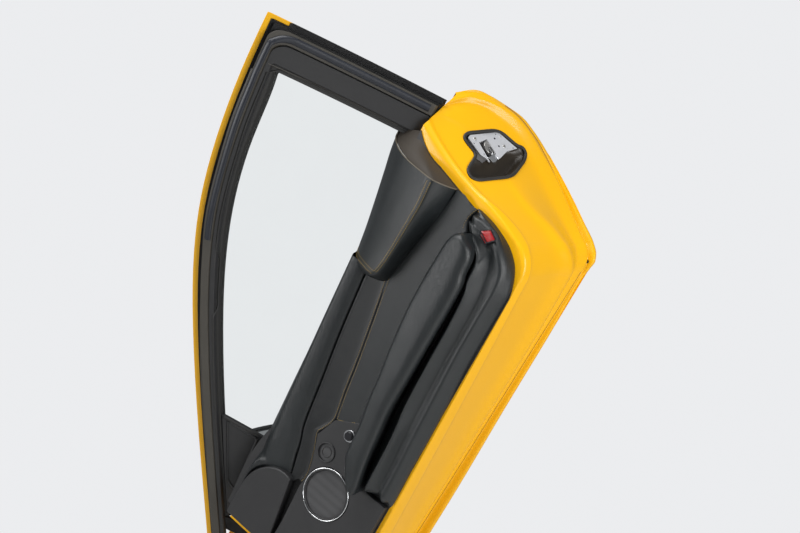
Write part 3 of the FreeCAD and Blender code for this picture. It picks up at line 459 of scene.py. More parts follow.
def wall(t, s):
    if t < FOOT:
        near, far = (arc(side[int(t)], t - int(t)) for side in (CABIN, OUTER))
    else:
        near, far = (Vector(rear).lerp(Vector(front), t - FOOT) for rear, front in SILL)
    spot = near.lerp(far, s)
    return Vector((spot.x, WALL_DEEP * s, spot.y))


def wall_normal(t, s):
    along = wall(min(t + STEP_T, FRONT), s) - wall(max(t - STEP_T, 0.0), s)
    return along.cross(wall(t, s + STEP_S) - wall(t, s - STEP_S)).normalized()


print("the wall's foot is at", [round(v) for v in wall(FOOT, 0.5)])

# %% [markdown]
# The pressing has creases, and its outer edge is folded over the skin in a hem. Each row of the
# first table is a place `t` along the wall, then how far out lie the roll by the trim, the soft
# fold, the valley and the ridge, then how high the fold and the ridge stand off the wall. The
# second gives the hem's line and the third the edge of the trim.

# %% Creases and hem
CREASES = [
    (0.00, 0.026, 0.100, 0.160, 0.195, 3.0, 2.5), (0.12, 0.014, 0.152, 0.270, 0.330, 5.0, 4.0),
    (0.30, 0.012, 0.227, 0.399, 0.460, 4.5, 6.0), (0.50, 0.012, 0.315, 0.494, 0.574, 2.5, 8.0),
    (0.80, 0.014, 0.377, 0.619, 0.716, 2.5, 9.0), (1.10, 0.018, 0.374, 0.683, 0.811, 5.0, 10.0),
    (1.50, 0.052, 0.396, 0.705, 0.877, 9.0, 10.0), (1.90, 0.084, 0.501, 0.716, 0.888, 14.0, 9.0),
    (2.40, 0.060, 0.531, 0.680, 0.835, 16.0, 8.0), (3.00, 0.064, 0.600, 0.690, 0.775, 15.0, 5.0),
    (3.20, 0.088, 0.610, 0.680, 0.735, 13.0, 4.0), (3.60, 0.118, 0.535, 0.590, 0.628, 9.0, 4.0),
    (4.00, 0.124, 0.420, 0.470, 0.500, 8.0, 4.0)]
HEM = [
    (0.00, 1265, 82, 193), (0.10, 1285, 113, 174), (0.25, 1287, 143, 154), (0.48, 1281, 185, 120),
    (0.65, 1274, 214, 93), (0.82, 1258, 238, 65), (0.99, 1238, 260, 36), (1.24, 1209, 275, -8),
    (1.45, 1185, 278, -51), (1.69, 1157, 276, -102), (1.98, 1125, 266, -164), (2.63, 1095, 256, -193),
    (2.85, 1070, 255, -191), (3.00, 1036, 252, -189), (3.16, 907, 239, -195), (3.35, 743, 223, -199),
    (3.65, 493, 197, -208), (4.00, 200, 158, -214)]
TRIM_EDGE = [[(1176, 180), (1150, 147), (1136, 104)], [(1136, 104), (1110, 10), (1093, -55)],
             [(1093, -55), (1061, -131), (992, -165)]]


def follow(table, t):
    """A smooth row of values at t, from a table whose first column is t."""
    k = min(max(sum(row[0] <= t for row in table) - 1, 0), len(table) - 2)
    before, first, second, after = (table[min(max(k + step, 0), len(table) - 1)] for step in (-1, 0, 1, 2))
    span = second[0] - first[0]
    share = (t - first[0]) / span
    values = []
    for p, a, b, q in zip(before[1:], first[1:], second[1:], after[1:]):
        m = (b - p) / (second[0] - before[0] or 1) * span
        n = (q - a) / (after[0] - first[0] or 1) * span
        values.append(a + share * (m + share * (3 * (b - a) - 2 * m - n + share * (m + n - 2 * (b - a)))))
    return values


print("the hem starts at", [round(value) for value in follow(HEM, 0.0)])

# %% [markdown]
# A smooth curve would wash the creases out, and straight runs would be too sharp. `rounded` keeps
# straight runs between the rows and rounds each row off. `nearest` finds where the trim's edge
# passes a place on the wall, so that metal and trim meet on one clean line.

# %% Rounded rows and nearest points
def rounded(rows, v, radius=0.3):
    """A point on straight runs from row to row, v from 0 to 1, each inner row rounded off."""
    w = v * (len(rows) - 1)
    k = round(w)
    if 0 < k < len(rows) - 1 and abs(w - k) < radius:
        a, b = rows[k].lerp(rows[k - 1], radius), rows[k].lerp(rows[k + 1], radius)
        q = (w - k + radius) / (2 * radius)
        return a.lerp(rows[k], q).lerp(rows[k].lerp(b, q), q)
    k = min(int(w), len(rows) - 2)
    return rows[k].lerp(rows[k + 1], w - k)


def nearest(at, line):
    """The nearest point of a run of points in a plane."""
    places = [a.lerp(b, min(max((at - a).dot(b - a) / (b - a).length_squared, 0.0), 1.0))
              for a, b in zip(line, line[1:])]
    return min(places, key=lambda place: (place - at).length)


trim_line = [arc(side, k / 24) for side in TRIM_EDGE for k in range(24)]
trim_line += [Vector((992, -165)), Vector((222, -170))]
print("the trim's edge has", len(trim_line), "points")

# %% [markdown]
# At each place along the wall the pressing is a row of points: the edge under the trim, the roll,
# the fold, the valley, the flat-topped ridge, the seam and the hem. The part from the belt round the
# corner shows most, so it gets two thirds of the columns and the straight sill the rest.

# %% The pressed face
CORNER_SHARE, SILL_SHARE, SILL_SHOWN = 0.66, 0.34, 0.97
LEAST_ROLL, ROLL_WIDE, RIDGE_WIDE, RIDGE_TO_SEAM, VALLEY_TO_RIDGE = 0.024, 0.032, 0.018, 0.03, 0.05
ROLL_HIGH, ROLL_FOOT, FOLD_START, VALLEY_HIGH, SEAM_HIGH = 8.0, -0.5, 1.4, -2.5, 0.8
EDGE_DEPTH, HEM_WIDE, SEAM_ROW = -1.3, 9.0, 9
HEM_SECTION = [(1.3, -7.8), (1.6, 1.9), (-4.0, 2.3)]


def crease_rows(u):
    """The points of the pressing at one place along it, from the trim's edge round the hem."""
    t = FOOT * u / CORNER_SHARE
    if u >= CORNER_SHARE:
        t = FOOT + (u - CORNER_SHARE) / SILL_SHARE * SILL_SHOWN
    inner = wall(t, 0.0)
    edge = nearest(Vector((inner.x, inner.z)), trim_line)
    roll, fold, valley, ridge, fold_high, ridge_high = follow(CREASES, t)
    roll = max(roll, LEAST_ROLL)
    hem = Vector(follow(HEM, t))
    seam = (hem.y - HEM_WIDE) / WALL_DEEP
    ridge = min(ridge, seam - RIDGE_TO_SEAM)
    valley = min(valley, ridge - VALLEY_TO_RIDGE)
    off = wall_normal(t, 0.4)
    flat = Vector((off.x, 0, off.z)).normalized()
    section = [(roll, ROLL_HIGH), (roll + ROLL_WIDE, ROLL_FOOT), (fold * 0.78, FOLD_START),
               (fold, fold_high), (valley, VALLEY_HIGH), (ridge - RIDGE_WIDE, ridge_high),
               (ridge, ridge_high), (seam, SEAM_HIGH)]
    rows = [Vector((edge.x, EDGE_DEPTH, edge.y)), inner + off * 2.4 - Vector((0, 1.2, 0))]
    rows += [wall(t, s) + off * high for s, high in section]
    return rows + [hem + flat * high + Vector((0, out, 0)) for high, out in HEM_SECTION]


known_rows = {}


def shut_face(u, v):
    """The pressed face: u from the belt to the sill's front, v from the trim's edge round the hem."""
    if u not in known_rows:
        known_rows[u] = crease_rows(u)
    return rounded(known_rows[u], v)


print("a section of the pressing has", len(crease_rows(0.5)), "points")

# %% [markdown]
# The latch is let into the shut face. Its place is found on the wall at t 0.695 and s 0.385, with
# one direction outboard along the face, one up it and one into it, so that its pieces can be drawn
# as on flat paper. The grid of the pressed face is made here too, for rays to meet.

# %% The latch's place
latch_at = wall(0.695, 0.385)
latch_out = (wall(0.695, 0.395) - latch_at).normalized()
latch_up = wall(0.685, 0.385) - latch_at
latch_up = (latch_up - latch_out * latch_up.dot(latch_out)).normalized()
latch_in = latch_up.cross(latch_out).normalized()
pressed_along = Vector((-0.165, 0.900, 0.404))
face_grid = sheet(330, 78, shut_face)
face_of_metal = BVHTree.FromBMesh(face_grid)


def on_latch(across, high, deep=0.0):
    return latch_at + latch_out * across + latch_up * high + latch_in * deep


def in_plane(spot):
    """Where a point of the closed door lies across and up the latch, seen along the pressing."""
    off = spot - latch_at
    off -= pressed_along * (off.dot(latch_in) / pressed_along.dot(latch_in))
    return Vector((off.dot(latch_out), off.dot(latch_up)))


print("the latch is centred at", [round(value) for value in latch_at])

# %% [markdown]
# The real face is punched where the latch's cup goes in. A boolean would leave ragged triangles, so
# the faces inside the cup's outline are deleted and the rim's vertices are moved onto the outline.

# %% The opening for the latch
CUP = [(-53, 56), (-38, 56), (27, 26), (40, 13), (52, -29), (63, -39), (60, -53), (42, -63), (-9, -70),
       (-30, -64), (-99, -31), (-111, -17), (-105, -1), (-58, 10), (-59, 49)]
CUP_REACH, SNAP, IN_FRONT = 150, 12, 90


def inside(a, b, outline):
    """Whether a point lies within an outline."""
    hits = False
    for (ax, ay), (bx, by) in zip(outline, outline[1:] + outline[:1]):
        if (ay > b) != (by > b) and a < ax + (b - ay) * (bx - ax) / (by - ay):
            hits = not hits
    return hits


def seated(a, b):
    """The point of the pressed face under a place on the latch."""
    start = raised(on_latch(a, b) - pressed_along * IN_FRONT)
    hit = face_of_metal.ray_cast(start, turned(*pressed_along))[0]
    return closed(hit) if hit else on_latch(a, b)


cup_sides = [Vector(point) for point in CUP + CUP[:1]]
places = {face: closed(face.calc_center_median()) for face in face_grid.faces}
gone = [face for face, spot in places.items()
        if (spot - latch_at).length < CUP_REACH and inside(*in_plane(spot), CUP)]
bmesh.ops.delete(face_grid, geom=gone, context="FACES")
for vertex in face_grid.verts:
    spot = closed(vertex.co)
    if vertex.is_boundary and (spot - latch_at).length < CUP_REACH:
        edge = nearest(in_plane(spot), cup_sides)
        if (edge - in_plane(spot)).length < SNAP:
            vertex.co = raised(seated(*edge))
piece("shell_face", face_grid, yellow, crease=60.0, thick=-0.6)
print("opened", len(gone), "faces for the latch")

# %% [markdown]
# The finer pressing lies over the CAD's plain wall. Two skins so close would flicker through each
# other, so the copies of the shell and the skin go without the faces just under it.

# %% The shell and the skin
HIDDEN, CLOSE_BY, ALONGSIDE = 0.010, 0.013, 0.018
PARALLEL, FACING_OUT = 0.6, 0.5


def under_the_face(face):
    """Whether a CAD face lies just under the pressed face, which then covers it."""
    normal, _, away = face_of_metal.find_nearest(face.calc_center_median())[1:]
    close = all(face_of_metal.find_nearest(vertex.co)[3] < CLOSE_BY for vertex in face.verts)
    return close or away < HIDDEN or (away < ALONGSIDE and abs(normal.dot(face.normal)) > PARALLEL)


smoothed("inner_shell", crease=40.0, cut=under_the_face)
smoothed("outer_skin", cut=lambda face: face.normal.y < FACING_OUT and under_the_face(face))
print("the shell keeps", len(made[-2].data.polygons), "faces and the skin", len(made[-1].data.polygons))

# %% [markdown]
# ## The latch
# The latch sits in a moulded cup with a thick rubber rim, whose bowl draws in as it goes deeper. The
# rim could be a curve with a bevel. `rope` makes it from a grid instead, so that it can be flattened
# towards any side, and `softened` rounds the corners of an outline.

# %% The cup
def softened(outline, radius):
    """An outline with its corners rounded off."""
    spots = []
    for before, corner, after in zip(outline[-1:] + outline[:-1], outline, outline[1:] + outline[:1]):
        p, c, q = Vector(before), Vector(corner), Vector(after)
        a, b = (c.lerp(end, min(radius / (end - c).length, 0.45)) for end in (p, q))
        spots += [a.lerp(c, w).lerp(c.lerp(b, w), w) for w in (0.0, 0.25, 0.5, 0.75, 1.0)]
    return spots


AHEAD = 0.003


def rope(line, radius, flat=1.0, up=(0, 1, 0), columns=120, around=12):
    """A round section along a line, flattened by `flat` in the direction `up`."""
    up = Vector(up)

    def spot(u, v):
        ahead = (line(min(u + AHEAD, 1.0)) - line(max(u - AHEAD, 0.0))).normalized()
        side = ahead.cross(up).normalized()
        turn = 2 * math.pi * v
        wide, high = math.cos(turn) * radius, math.sin(turn) * radius * flat
        return line(u) + side * wide + side.cross(ahead) * high

    return tube(columns, around, spot)


CUP_MIDDLE, CUP_ROUND = Vector((-18, -12)), 12.0
CUP_LEVELS = [(0.0, 0.0, 0.0), (0.01, 2.0, 0.0), (0.06, 4.5, 0.1), (0.10, 13.0, 0.6), (0.17, 20.0, 1.0),
              (0.32, 22.5, 1.0), (0.99, 22.5, 1.0)]


def cup_ring(draw=0.0, deep=0.0, level=0.0):
    """A closed line drawn in from the cup's outline and sunk. Level 0 follows the face, 1 is flat."""
    spots = [spot.lerp(CUP_MIDDLE, draw) for spot in softened(CUP, CUP_ROUND)]
    return Curve([seated(*spot).lerp(on_latch(*spot), level) + latch_in * deep for spot in spots], ring=True)


rings = [cup_ring(*level) for level in CUP_LEVELS]
bowl = sheet(140, 42, lambda u, v: rounded([ring(u) for ring in rings], v))
piece("cup_bowl", bowl, cup_plastic, ("latch_cup",))
piece("cup_rim", rope(cup_ring(0.0, -1.2), 3.6, 0.75, latch_in, 180), rubber)
print("the cup's rim is", round(rings[0].length), "mm round")

# %% [markdown]
# The plate and the claw keep their CAD form with softened edges. The plate's punched holes could be cut, but
# shallow black discs stand for them instead, and their black is painted shade of the holes. Rivets and the
# bright tongue that guides the striker are added on it.

# %% The plate
smoothed("latch_plate", bevel=0.5, finish=silver)
smoothed("latch_claw", bevel=0.5)
SIDES, NARROWER = 28, 0.94


def disc(at, radius, height, lean):
    """A round boss with its foot at a point of the closed door and its axis along `lean`."""
    bm = bmesh.new()
    bmesh.ops.create_cone(bm, cap_ends=True, segments=SIDES, radius1=radius * MM,
                          radius2=radius * NARROWER * MM, depth=height * MM)
    turn = Vector((0, 0, 1)).rotation_difference(turned(*lean).normalized()).to_matrix().to_4x4()
    up_half = Matrix.Translation((0, 0, height * MM / 2))
    bmesh.ops.transform(bm, matrix=Matrix.Translation(raised(at)) @ turn @ up_half, verts=bm.verts)
    return bm


def on_plate(places, lift, height):
    """Discs on the latch's plate in one mesh, for places across, up and with a radius."""
    whole = bmesh.new()
    for across, high, radius in places:
        mesh = bpy.data.meshes.new("disc")
        part = disc(on_latch(across, high, lift), radius, height, -latch_in)
        part.to_mesh(mesh)
        part.free()
        whole.from_mesh(mesh)
        bpy.data.meshes.remove(mesh)
    return whole


HOLES = [(12, 13, 2.2), (8, -5, 2.0), (-44, 32, 1.2), (22, 18, 1.2), (-40, 2, 1.2), (38, -27, 1.4)]
RIVETS = [(-34, 38, 3.4), (20, -12, 3.4), (28, 8, 2.2)]
TONGUE = [(-29, -8, -1.5), (-25, -15, 0.5), (-22, -22, 3.0), (-20, -26, 7.0)]
# Black discs on the plate in place of its holes: painted shade of the holes.
piece("latch_hole_shade_discs", on_plate(HOLES, -0.8, 0.5), black_gloss)
piece("latch_rivets", on_plate(RIVETS, -1.0, 1.3), zinc, bevel=0.4)
rows = [Curve([on_latch(a + shift, b + lift, deep) for a, b, deep in TONGUE])
        for shift, lift in ((-9, 0), (-3, -2), (4, -2), (11, 2))]
piece("latch_tongue", sheet(12, 12, lofted(rows)), chrome, thick=-1.5, bevel=0.4)
print("the plate has", len(HOLES), "holes and", len(RIVETS), "rivets")

# %% [markdown]
# Where the hem folds over, a dark line of shade runs along the seam. It is a thin dark-ochre rope along the
# seam's points that follows the pressing's turns. Its colour is painted shade, and a line laid flat would
# catch no light.

# %% The painted shade along the hem's seam
seam_line = [crease_rows(0.10 + 0.89 * k / 90)[SEAM_ROW] - Vector((0, 1.6, 0)) for k in range(91)]
piece("hem_fold_shade_rope", rope(Curve(seam_line), 1.5, columns=260, around=8), hem_fold_shade)
print("the bead is", round(Curve(seam_line).length), "mm long")

# %% [markdown]
# ## The cabin trim
# The real pads are foam under leather, drawn tight over a board. Each is a sheet through lines
# traced along the car: where its face starts, swells and ends. `deep` sets side-view points at one
# depth, `moved` shifts a line, and `layered` makes a sheet's formula from such lines.

# %% Lines at a depth
def deep(points, y, up=0.0, along=0.0):
    """Side-view points at one depth, raised and shifted along the car."""
    return [(x + along, y, z + up) for x, z in points]


def moved(points, across=0.0, along=0.0, up=0.0):
    return [(x + along, y + across, z + up) for x, y, z in points]


def layered(*rows):
    """A sheet's formula from side-view lines, each with its depth and how far it is raised."""
    return lofted([deep(*row) for row in rows])


GROOVE = [(384, 62), (464, 80), (506, 93), (608, 106), (712, 120), (812, 130), (880, 136)]
FOOT_LINE = [(222, 150), (273, 156), (330, 150), (360, 128), (374, 96), (380, 64), (392, 64),
             (430, 74)] + GROOVE[1:]
SEAM = [(394, 27), (422, 25), (474, 38), (509, 51), (528, 43), (560, 32), (621, 42), (690, 51), (767, 63),
        (833, 74), (884, 83)]
PAD_TOP = [(222, 156), (330, 164), (396, 168), (458, 171), (584, 177), (707, 182), (825, 187), (884, 189)]
print("the groove under the belt pad is", round(Curve(deep(GROOVE, 0)).length), "mm long")

# %% [markdown]
# The belt pad swells from nothing at the front to its full roll 200 mm further back. The strip
# below it is a second, darker sheet between the groove and the seam.

# %% Belt pad and strip
PAD_FRONT, PAD_HIGH, PAD_RISE, SWELL_RUN = 222, 156, 0.055, 200
BELT_SECTION = [(0.72, -4, -16), (0.35, -8, -13), (0.08, -9, -6)]
pad_rows = [(x, z, PAD_HIGH + (x - PAD_FRONT) * PAD_RISE, min(max((x - PAD_FRONT) / SWELL_RUN, 0.0), 1.0))
            for x, z in FOOT_LINE]
belt = [deep(PAD_TOP, 36), deep(PAD_TOP, 16, 1), deep(PAD_TOP, 3, -5)]
for share, y, proud in BELT_SECTION:
    belt.append([(x, y + proud * swell, z + (top - z) * share) for x, z, top, swell in pad_rows])
belt += [deep(FOOT_LINE, -8, 0.5), deep(FOOT_LINE, -3, 1)]
piece("belt_pad_leather", sheet(110, 44, lofted(belt)), leather, ("belt_pad",))
strip = layered((GROOVE, -3, -1), (GROOVE, -11, -2), (GROOVE, -14.5, -6), (GROOVE, -14, -13),
                (SEAM, -12, 14), (SEAM, -12.9, 4), (SEAM, -12.4, 0.8), (SEAM, -9.5))
piece("mid_strip_cover", sheet(130, 35, strip), dark_leather, ("mid_strip",))
print("belt pad and strip are", len(made[-2].data.polygons) + len(made[-1].data.polygons), "faces")

# %% [markdown]
# Thread shows as a row of short stitches. A texture would blur close by, so each stitch is a small
# capsule of a few faces that lies along its line.

# %% The insert and its stitches
thread = metal("thread", (0.42, 0.27, 0.05, 1), (0.60, 0.40, 0.10, 1), 0.55, 900.0, 0.0)
PITCH, STITCH, THREAD = 4.6, 3.4, 0.42


def stitched(name, lines):
    """Rows of stitches, each lying along its line."""
    whole = bmesh.new()
    half = STITCH / PITCH / 2
    for line in lines:
        count = max(int(line.length / PITCH), 2)
        for k in range(count):
            a, b = (raised(line((k + shift) / count)) for shift in (0.5 - half, 0.5 + half))
            turn = Vector((0, 0, 1)).rotation_difference((b - a).normalized()).to_matrix().to_4x4()
            longer = Matrix.Diagonal((1, 1, (b - a).length / 2 / (THREAD * MM), 1))
            bmesh.ops.create_icosphere(whole, subdivisions=1, radius=THREAD * MM,
                                       matrix=Matrix.Translation((a + b) / 2) @ turn @ longer)
    piece(name, whole, thread, crease=80.0)


INSERT_TOP = [(562, 32), (621, 42), (690, 51), (767, 63), (833, 74), (884, 83), (961, 68), (1024, 56),
              (1074, 48), (1118, 42)]
INSERT_LOW = [(588, -60), (640, -60), (720, -55), (800, -50), (900, -45), (980, -45), (1040, -40),
              (1060, -22), (1084, -13), (1109, -20)]
insert = layered((INSERT_TOP, -9.5), (INSERT_TOP, -12.4, -0.9), (INSERT_TOP, -12.9, -5),
                 (INSERT_TOP, -12.8, -22), (INSERT_LOW, -12.8, 20), (INSERT_LOW, -12.4, 3), (INSERT_LOW, -8))
piece("insert_leather", sheet(110, 42, insert), leather, ("insert_panel",))
stitched("strip_stitches", [Curve(deep(SEAM, -13.3, 4.2)), Curve(deep(INSERT_TOP[:6], -13.4, -3.6))])
print("thread is sewn along the insert")

# %% [markdown]
# The shoulder pad is a wedge. Its sections run along the car, each from the glass over the brow to
# the stitched ridge and down to its foot, and its front end draws in to a soft roll. A row of the
# table is a place along the car, the heights of top, ridge and foot there, and how far the ridge
# stands proud.

# %% The shoulder pad's form
SHOULDER = [
    (864, 188, 118, 92, 34), (872, 190, 110, 84, 42), (892, 193, 95, 77, 49), (939, 200, 86, 70, 53),
    (998, 211, 80, 59, 58), (1058, 223, 76, 48, 61), (1112, 234, 79, 44, 62), (1170, 240, 82, 41, 62)]
PAD_START, PAD_END, BROW_RUN, BROW_SHARE, ROLL_RUN = 863, 1117, 52, 0.42, 16.0


def shoulder_row(x):
    """One section of the wedge, from the glass to the foot."""
    top, ridge, foot, proud = follow(SHOULDER, x)
    brow, chin = top - ridge, ridge - foot
    return [Vector((x, y, z)) for y, z in (
        (38, top + 1), (20, top), (4, top - 7), (-proud * 0.42, top - brow * 0.30),
        (-proud * 0.78, top - brow * 0.66), (-proud, ridge), (-proud * 0.80, ridge - chin * 0.42),
        (-proud * 0.50, ridge - chin * 0.78), (-12, foot), (-4, foot + 2))]


def rear_of_pad(v):
    """Where the pad ends along the car: its upper part runs further back, in an arc."""
    return PAD_END + BROW_RUN * max(0.0, 1.0 - v / BROW_SHARE) ** 1.8


def shoulder(u, v):
    """The wedge's skin, drawn in at its front end by a quarter circle."""
    x = PAD_START + (rear_of_pad(v) - PAD_START) * u
    row = shoulder_row(x)
    near = max(0.0, 1.0 - (x - PAD_START) / ROLL_RUN)
    draw = 1.0 - math.sqrt(max(1.0 - near * near, 0.0))
    middle = Vector((x, 4, (row[0].z + row[8].z) / 2 + 14))
    return rounded(row, v, 0.42).lerp(middle, draw * 0.34)


piece("shoulder_pad_leather", sheet(96, 66, shoulder), leather, ("shoulder_pad",), crease=50.0)
print("the shoulder pad stands", SHOULDER[-1][4], "mm proud")

# %% [markdown]
# Two rows of thread run along the pad's ridge and two down its front end. `on_face` lifts them a
# hair off the leather, because thread that lies in the surface would show in places only.

# %% The shoulder pad's stitches
LIFT, ASIDE, RIDGE_AT = 0.3, 0.004, 5 / 9


def on_face(spot, u, v):
    """A point of a sheet, lifted off it into the cabin."""
    normal = (spot(min(u + ASIDE, 1), v) - spot(max(u - ASIDE, 0), v)).cross(
        spot(u, min(v + ASIDE, 1)) - spot(u, max(v - ASIDE, 0))).normalized()
    return spot(u, v) + normal * (LIFT if normal.y < 0 else -LIFT)


def sewn_line(u, v, u_run, v_run, steps):
    """A line on the shoulder pad from the shares u and v, over a run of each."""
    return Curve([on_face(shoulder, u + u_run * k / steps, v + v_run * k / steps) for k in range(steps + 1)])


stitched("shoulder_stitches", [
    sewn_line(0.10, RIDGE_AT - 0.012, 0.88, 0, 40), sewn_line(0.10, RIDGE_AT + 0.016, 0.88, 0, 40),
    sewn_line(0.098, 0.16, 0, RIDGE_AT - 0.17, 20), sewn_line(0.068, 0.16, 0, RIDGE_AT - 0.16, 20)])
print("the pad's seams hold", len(made[-1].data.polygons), "faces of thread")

# %% [markdown]
# The pad's rear end is closed by a cap that runs to the shut face, with a welt round the pad's edge.
# The cap is ruled between the two edges and bulges a little towards the cabin.

# %% The shoulder cap
CAP_BULGE = 9


def cap(u, v):
    """From the pad's rear section (u 0) to the trim's edge by the shut face (u 1)."""
    near = shoulder(1.0, 0.10 + 0.88 * v)
    edge = arc(TRIM_EDGE[0], min(v * 1.1, 1.0)) if v < 0.9 else arc(TRIM_EDGE[1], (v - 0.9) * 1.2)
    far = Vector((edge.x - 1.0, -2, edge.y))
    spot = (near + Vector((1.0, 3, 0))).lerp(far, u)
    return spot + Vector((0, -CAP_BULGE * math.sin(math.pi * u) * math.sin(math.pi * v), 0))


piece("shoulder_cap_cover", sheet(30, 48, cap), cap_rubber, ("shoulder_cap",))
welt = Curve([shoulder(1.0, 0.10 + 0.86 * k / 60) + Vector((0.5, 0, 0)) for k in range(61)])
piece("shoulder_welt", rope(welt, 1.3, columns=120, around=8), welt_rubber)
print("the welt is", round(welt.length), "mm long")

# %% [markdown]
# The armrest is a long bolster. Its rows run from the insert over the crown to the lip and tuck in
# under it. A row of its section is a share of the way down, a depth, and how much further the crown
# stands proud where it is full. It fades towards both ends, so one section makes them all.

# %% The armrest
REST_TOP = [(473, -96), (482, -80), (509, -61), (536, -47), (566, -44), (613, -41), (670, -32),
            (728, -26), (799, -16), (875, -9), (940, -8), (1006, -11), (1036, -14), (1054, -22),
            (1066, -34)]
REST_LOW = [(473, -100), (482, -107), (552, -97), (620, -91), (678, -87), (764, -89), (854, -90),
            (920, -91), (974, -90), (1000, -84), (1031, -81), (1049, -71), (1057, -56), (1063, -46),
            (1066, -38)]
REST_SECTION = [(0.0, -12, 0), (0.0, -46, -8), (0.03, -54, -12), (0.12, -56, -17), (0.40, -56, -22),
                (0.72, -57, -23), (0.92, -56, -20), (0.995, -54, -13), (0.985, -46, -8), (0.90, -42, 0),
                (0.80, -14, 0)]
rest_top, rest_low = Curve(deep(REST_TOP, 0)), Curve(deep(REST_LOW, 0))


def armrest(u, v):
    """The bolster's skin, which rounds off at its rear end and thins slowly to the front."""
    full = min(1.0, math.sqrt(max(1.0 - max(0.0, 1.0 - (1.0 - u) * 20) ** 2, 0.0)))
    full *= 0.35 + 0.65 * min(1.0, u * 2.2) ** 0.7
    a, b = rest_top(u), rest_low(u)
    rows = [a.lerp(b, share) + Vector((0, y + proud * full, 0)) for share, y, proud in REST_SECTION]
    return rounded(rows, v, 0.45)


piece("armrest_leather", sheet(150, 60, armrest), leather, ("armrest",), crease=50.0)
print("the armrest is", round(rest_top.length), "mm long")

# %% [markdown]
# The moulding below has a ridge, a valley and a soft bulge that turn up together beside the shut
# face, and the black well of the pull lies between it and the armrest. The lines are traced one by
# one, because their distances change round the corner.

# %% The lower moulding
WELL = [(1044, -34), (1046, -42), (1038, -60), (1015, -72), (980, -78), (920, -80), (801, -80),
        (705, -78), (620, -84), (552, -90), (482, -98)]
RIDGE = [(1058, -33, -24), (1061, -33, -36), (1053, -34, -54), (1041, -40, -72), (1023, -47, -84),
         (990, -50, -88), (958, -50, -96), (891, -50, -100), (801, -50, -101), (705, -50, -104),
         (620, -50, -113), (485, -50, -118)]
VALLEY = [(1080, -15), (1078, -40), (1069, -66), (1051, -90), (1022, -106), (980, -115), (923, -119),
          (843, -120), (748, -123), (651, -127), (569, -132), (490, -136)]
BULGE = [(1095, -29, -17), (1093, -28, -46), (1086, -29, -78), (1064, -37, -106), (1036, -37, -130),
         (1000, -37, -139), (957, -37, -140), (843, -37, -140), (748, -37, -144), (651, -37, -148),
         (569, -37, -152), (485, -37, -156)]
EDGE = [(1111, -20), (1107, -38), (1099, -70), (1080, -113), (1051, -144), (1009, -161), (957, -162),
        (843, -162), (748, -166), (651, -169), (569, -170), (485, -173)]
INSERT_FACE, CROWDED, END_SHARE = -11.5, 0.8, 0.03
dip = [(x, -29 if x > 1060 else -33, z) for x, z in VALLEY]
faces = lofted([deep(WELL, -13), deep(WELL, -22, -3), moved(RIDGE, across=9, up=6), RIDGE,
                moved(RIDGE, across=3, up=-6, along=2), dip, moved(dip, across=1, up=-6, along=3),
                BULGE, moved(BULGE, across=7, up=-9, along=6), deep(EDGE, -14, 2, -1), deep(EDGE, -3)])


def moulding(u, v):
    """The moulding's faces, with more columns at both ends, where they sink to the insert."""
    u -= CROWDED * math.sin(2 * math.pi * u) / (2 * math.pi)
    spot, near = faces(u, v), min(u, 1.0 - u) / END_SHARE
    if near < 1.0:
        spot.y = INSERT_FACE + (spot.y - INSERT_FACE) * math.sqrt(near * (2.0 - near))
    return spot


piece("lower_moulding_cover", sheet(180, 60, moulding), leather, ("lower_moulding",))
CORNER_SEAM = [(1060, -13.4, -10), (1074, -13.4, -8), (1090, -13.2, -10), (1108, -12.6, -16)]
stitched("corner_stitches", [Curve(CORNER_SEAM)])
print("the moulding is", round(Curve(deep(EDGE, 0)).length), "mm long")

# %% [markdown]
# Plain moulded parts of the trim need no new form. They are copied smooth, with edges softened by up
# to 3 mm, because a sharp edge never catches the light.

# %% Copied parts of the trim
for node, soft in (("speaker_panel", 1.5), ("front_arch_cover", 3.0), ("knob_ring", 0.5),
                   ("control_knob", 1.5), ("lamp_bezel", 0.6), ("door_lamp", 0.8), ("trim_carrier", 0.0),
                   ("speaker_grille", 0.4), ("tweeter_grille", 0.4)):
    smoothed(node, bevel=soft)
print("so far there are", len(made), "pieces")

# %% [markdown]
# The speaker panel leans. `on_panel` finds its surface, for the thin chrome ring round the speaker
# and the black rings round the mesh and in the tweeter. A short seam closes the panel at its rear.

# %% Rings on the speaker panel
SPEAKER, TWEETER = (415, -37), (490, 11)
PANEL_FRONT, PANEL_DEPTH, PANEL_LEAN = 236.0, -35.1, 0.06
BLACK_RINGS = [("speaker_surround", SPEAKER, 52.5, -0.5, 2.2, 120),
               ("tweeter_surround", TWEETER, 20.5, 0.2, 1.6, 90),
               ("tweeter_centre", TWEETER, 11.0, -3.0, 1.2, 60)]


def on_panel(x, z, lift):
    return Vector((x, PANEL_DEPTH + (x - PANEL_FRONT) * PANEL_LEAN - lift, z))


def circle(centre, radius, lift):
    """A ring on the panel, lifted off it into the cabin."""
    turns = [k * math.pi / 24 for k in range(48)]
    return Curve([on_panel(centre[0] + radius * math.cos(turn), centre[1] + radius * math.sin(turn), lift)
                  for turn in turns], ring=True)


piece("speaker_trim_ring", rope(circle(SPEAKER, 55.5, 0.8), 1.1, columns=160), chrome, ("speaker_ring",))
for name, centre, radius, lift, thick, columns in BLACK_RINGS:
    piece(name, rope(circle(centre, radius, lift), thick, columns=columns), black_trim)
PANEL_SEAM = [(563, -13.4, 26), (572, -13.4, 6), (583, -13.4, -12)]
stitched("panel_stitches", [Curve(PANEL_SEAM)])
print("the speaker panel has", len(BLACK_RINGS), "black rings")

# %% [markdown]
# The real pads sit on a dark board. Without one the yellow shell would show through the gaps
# between them, and a thin sheet just behind the pads closes them all at once.

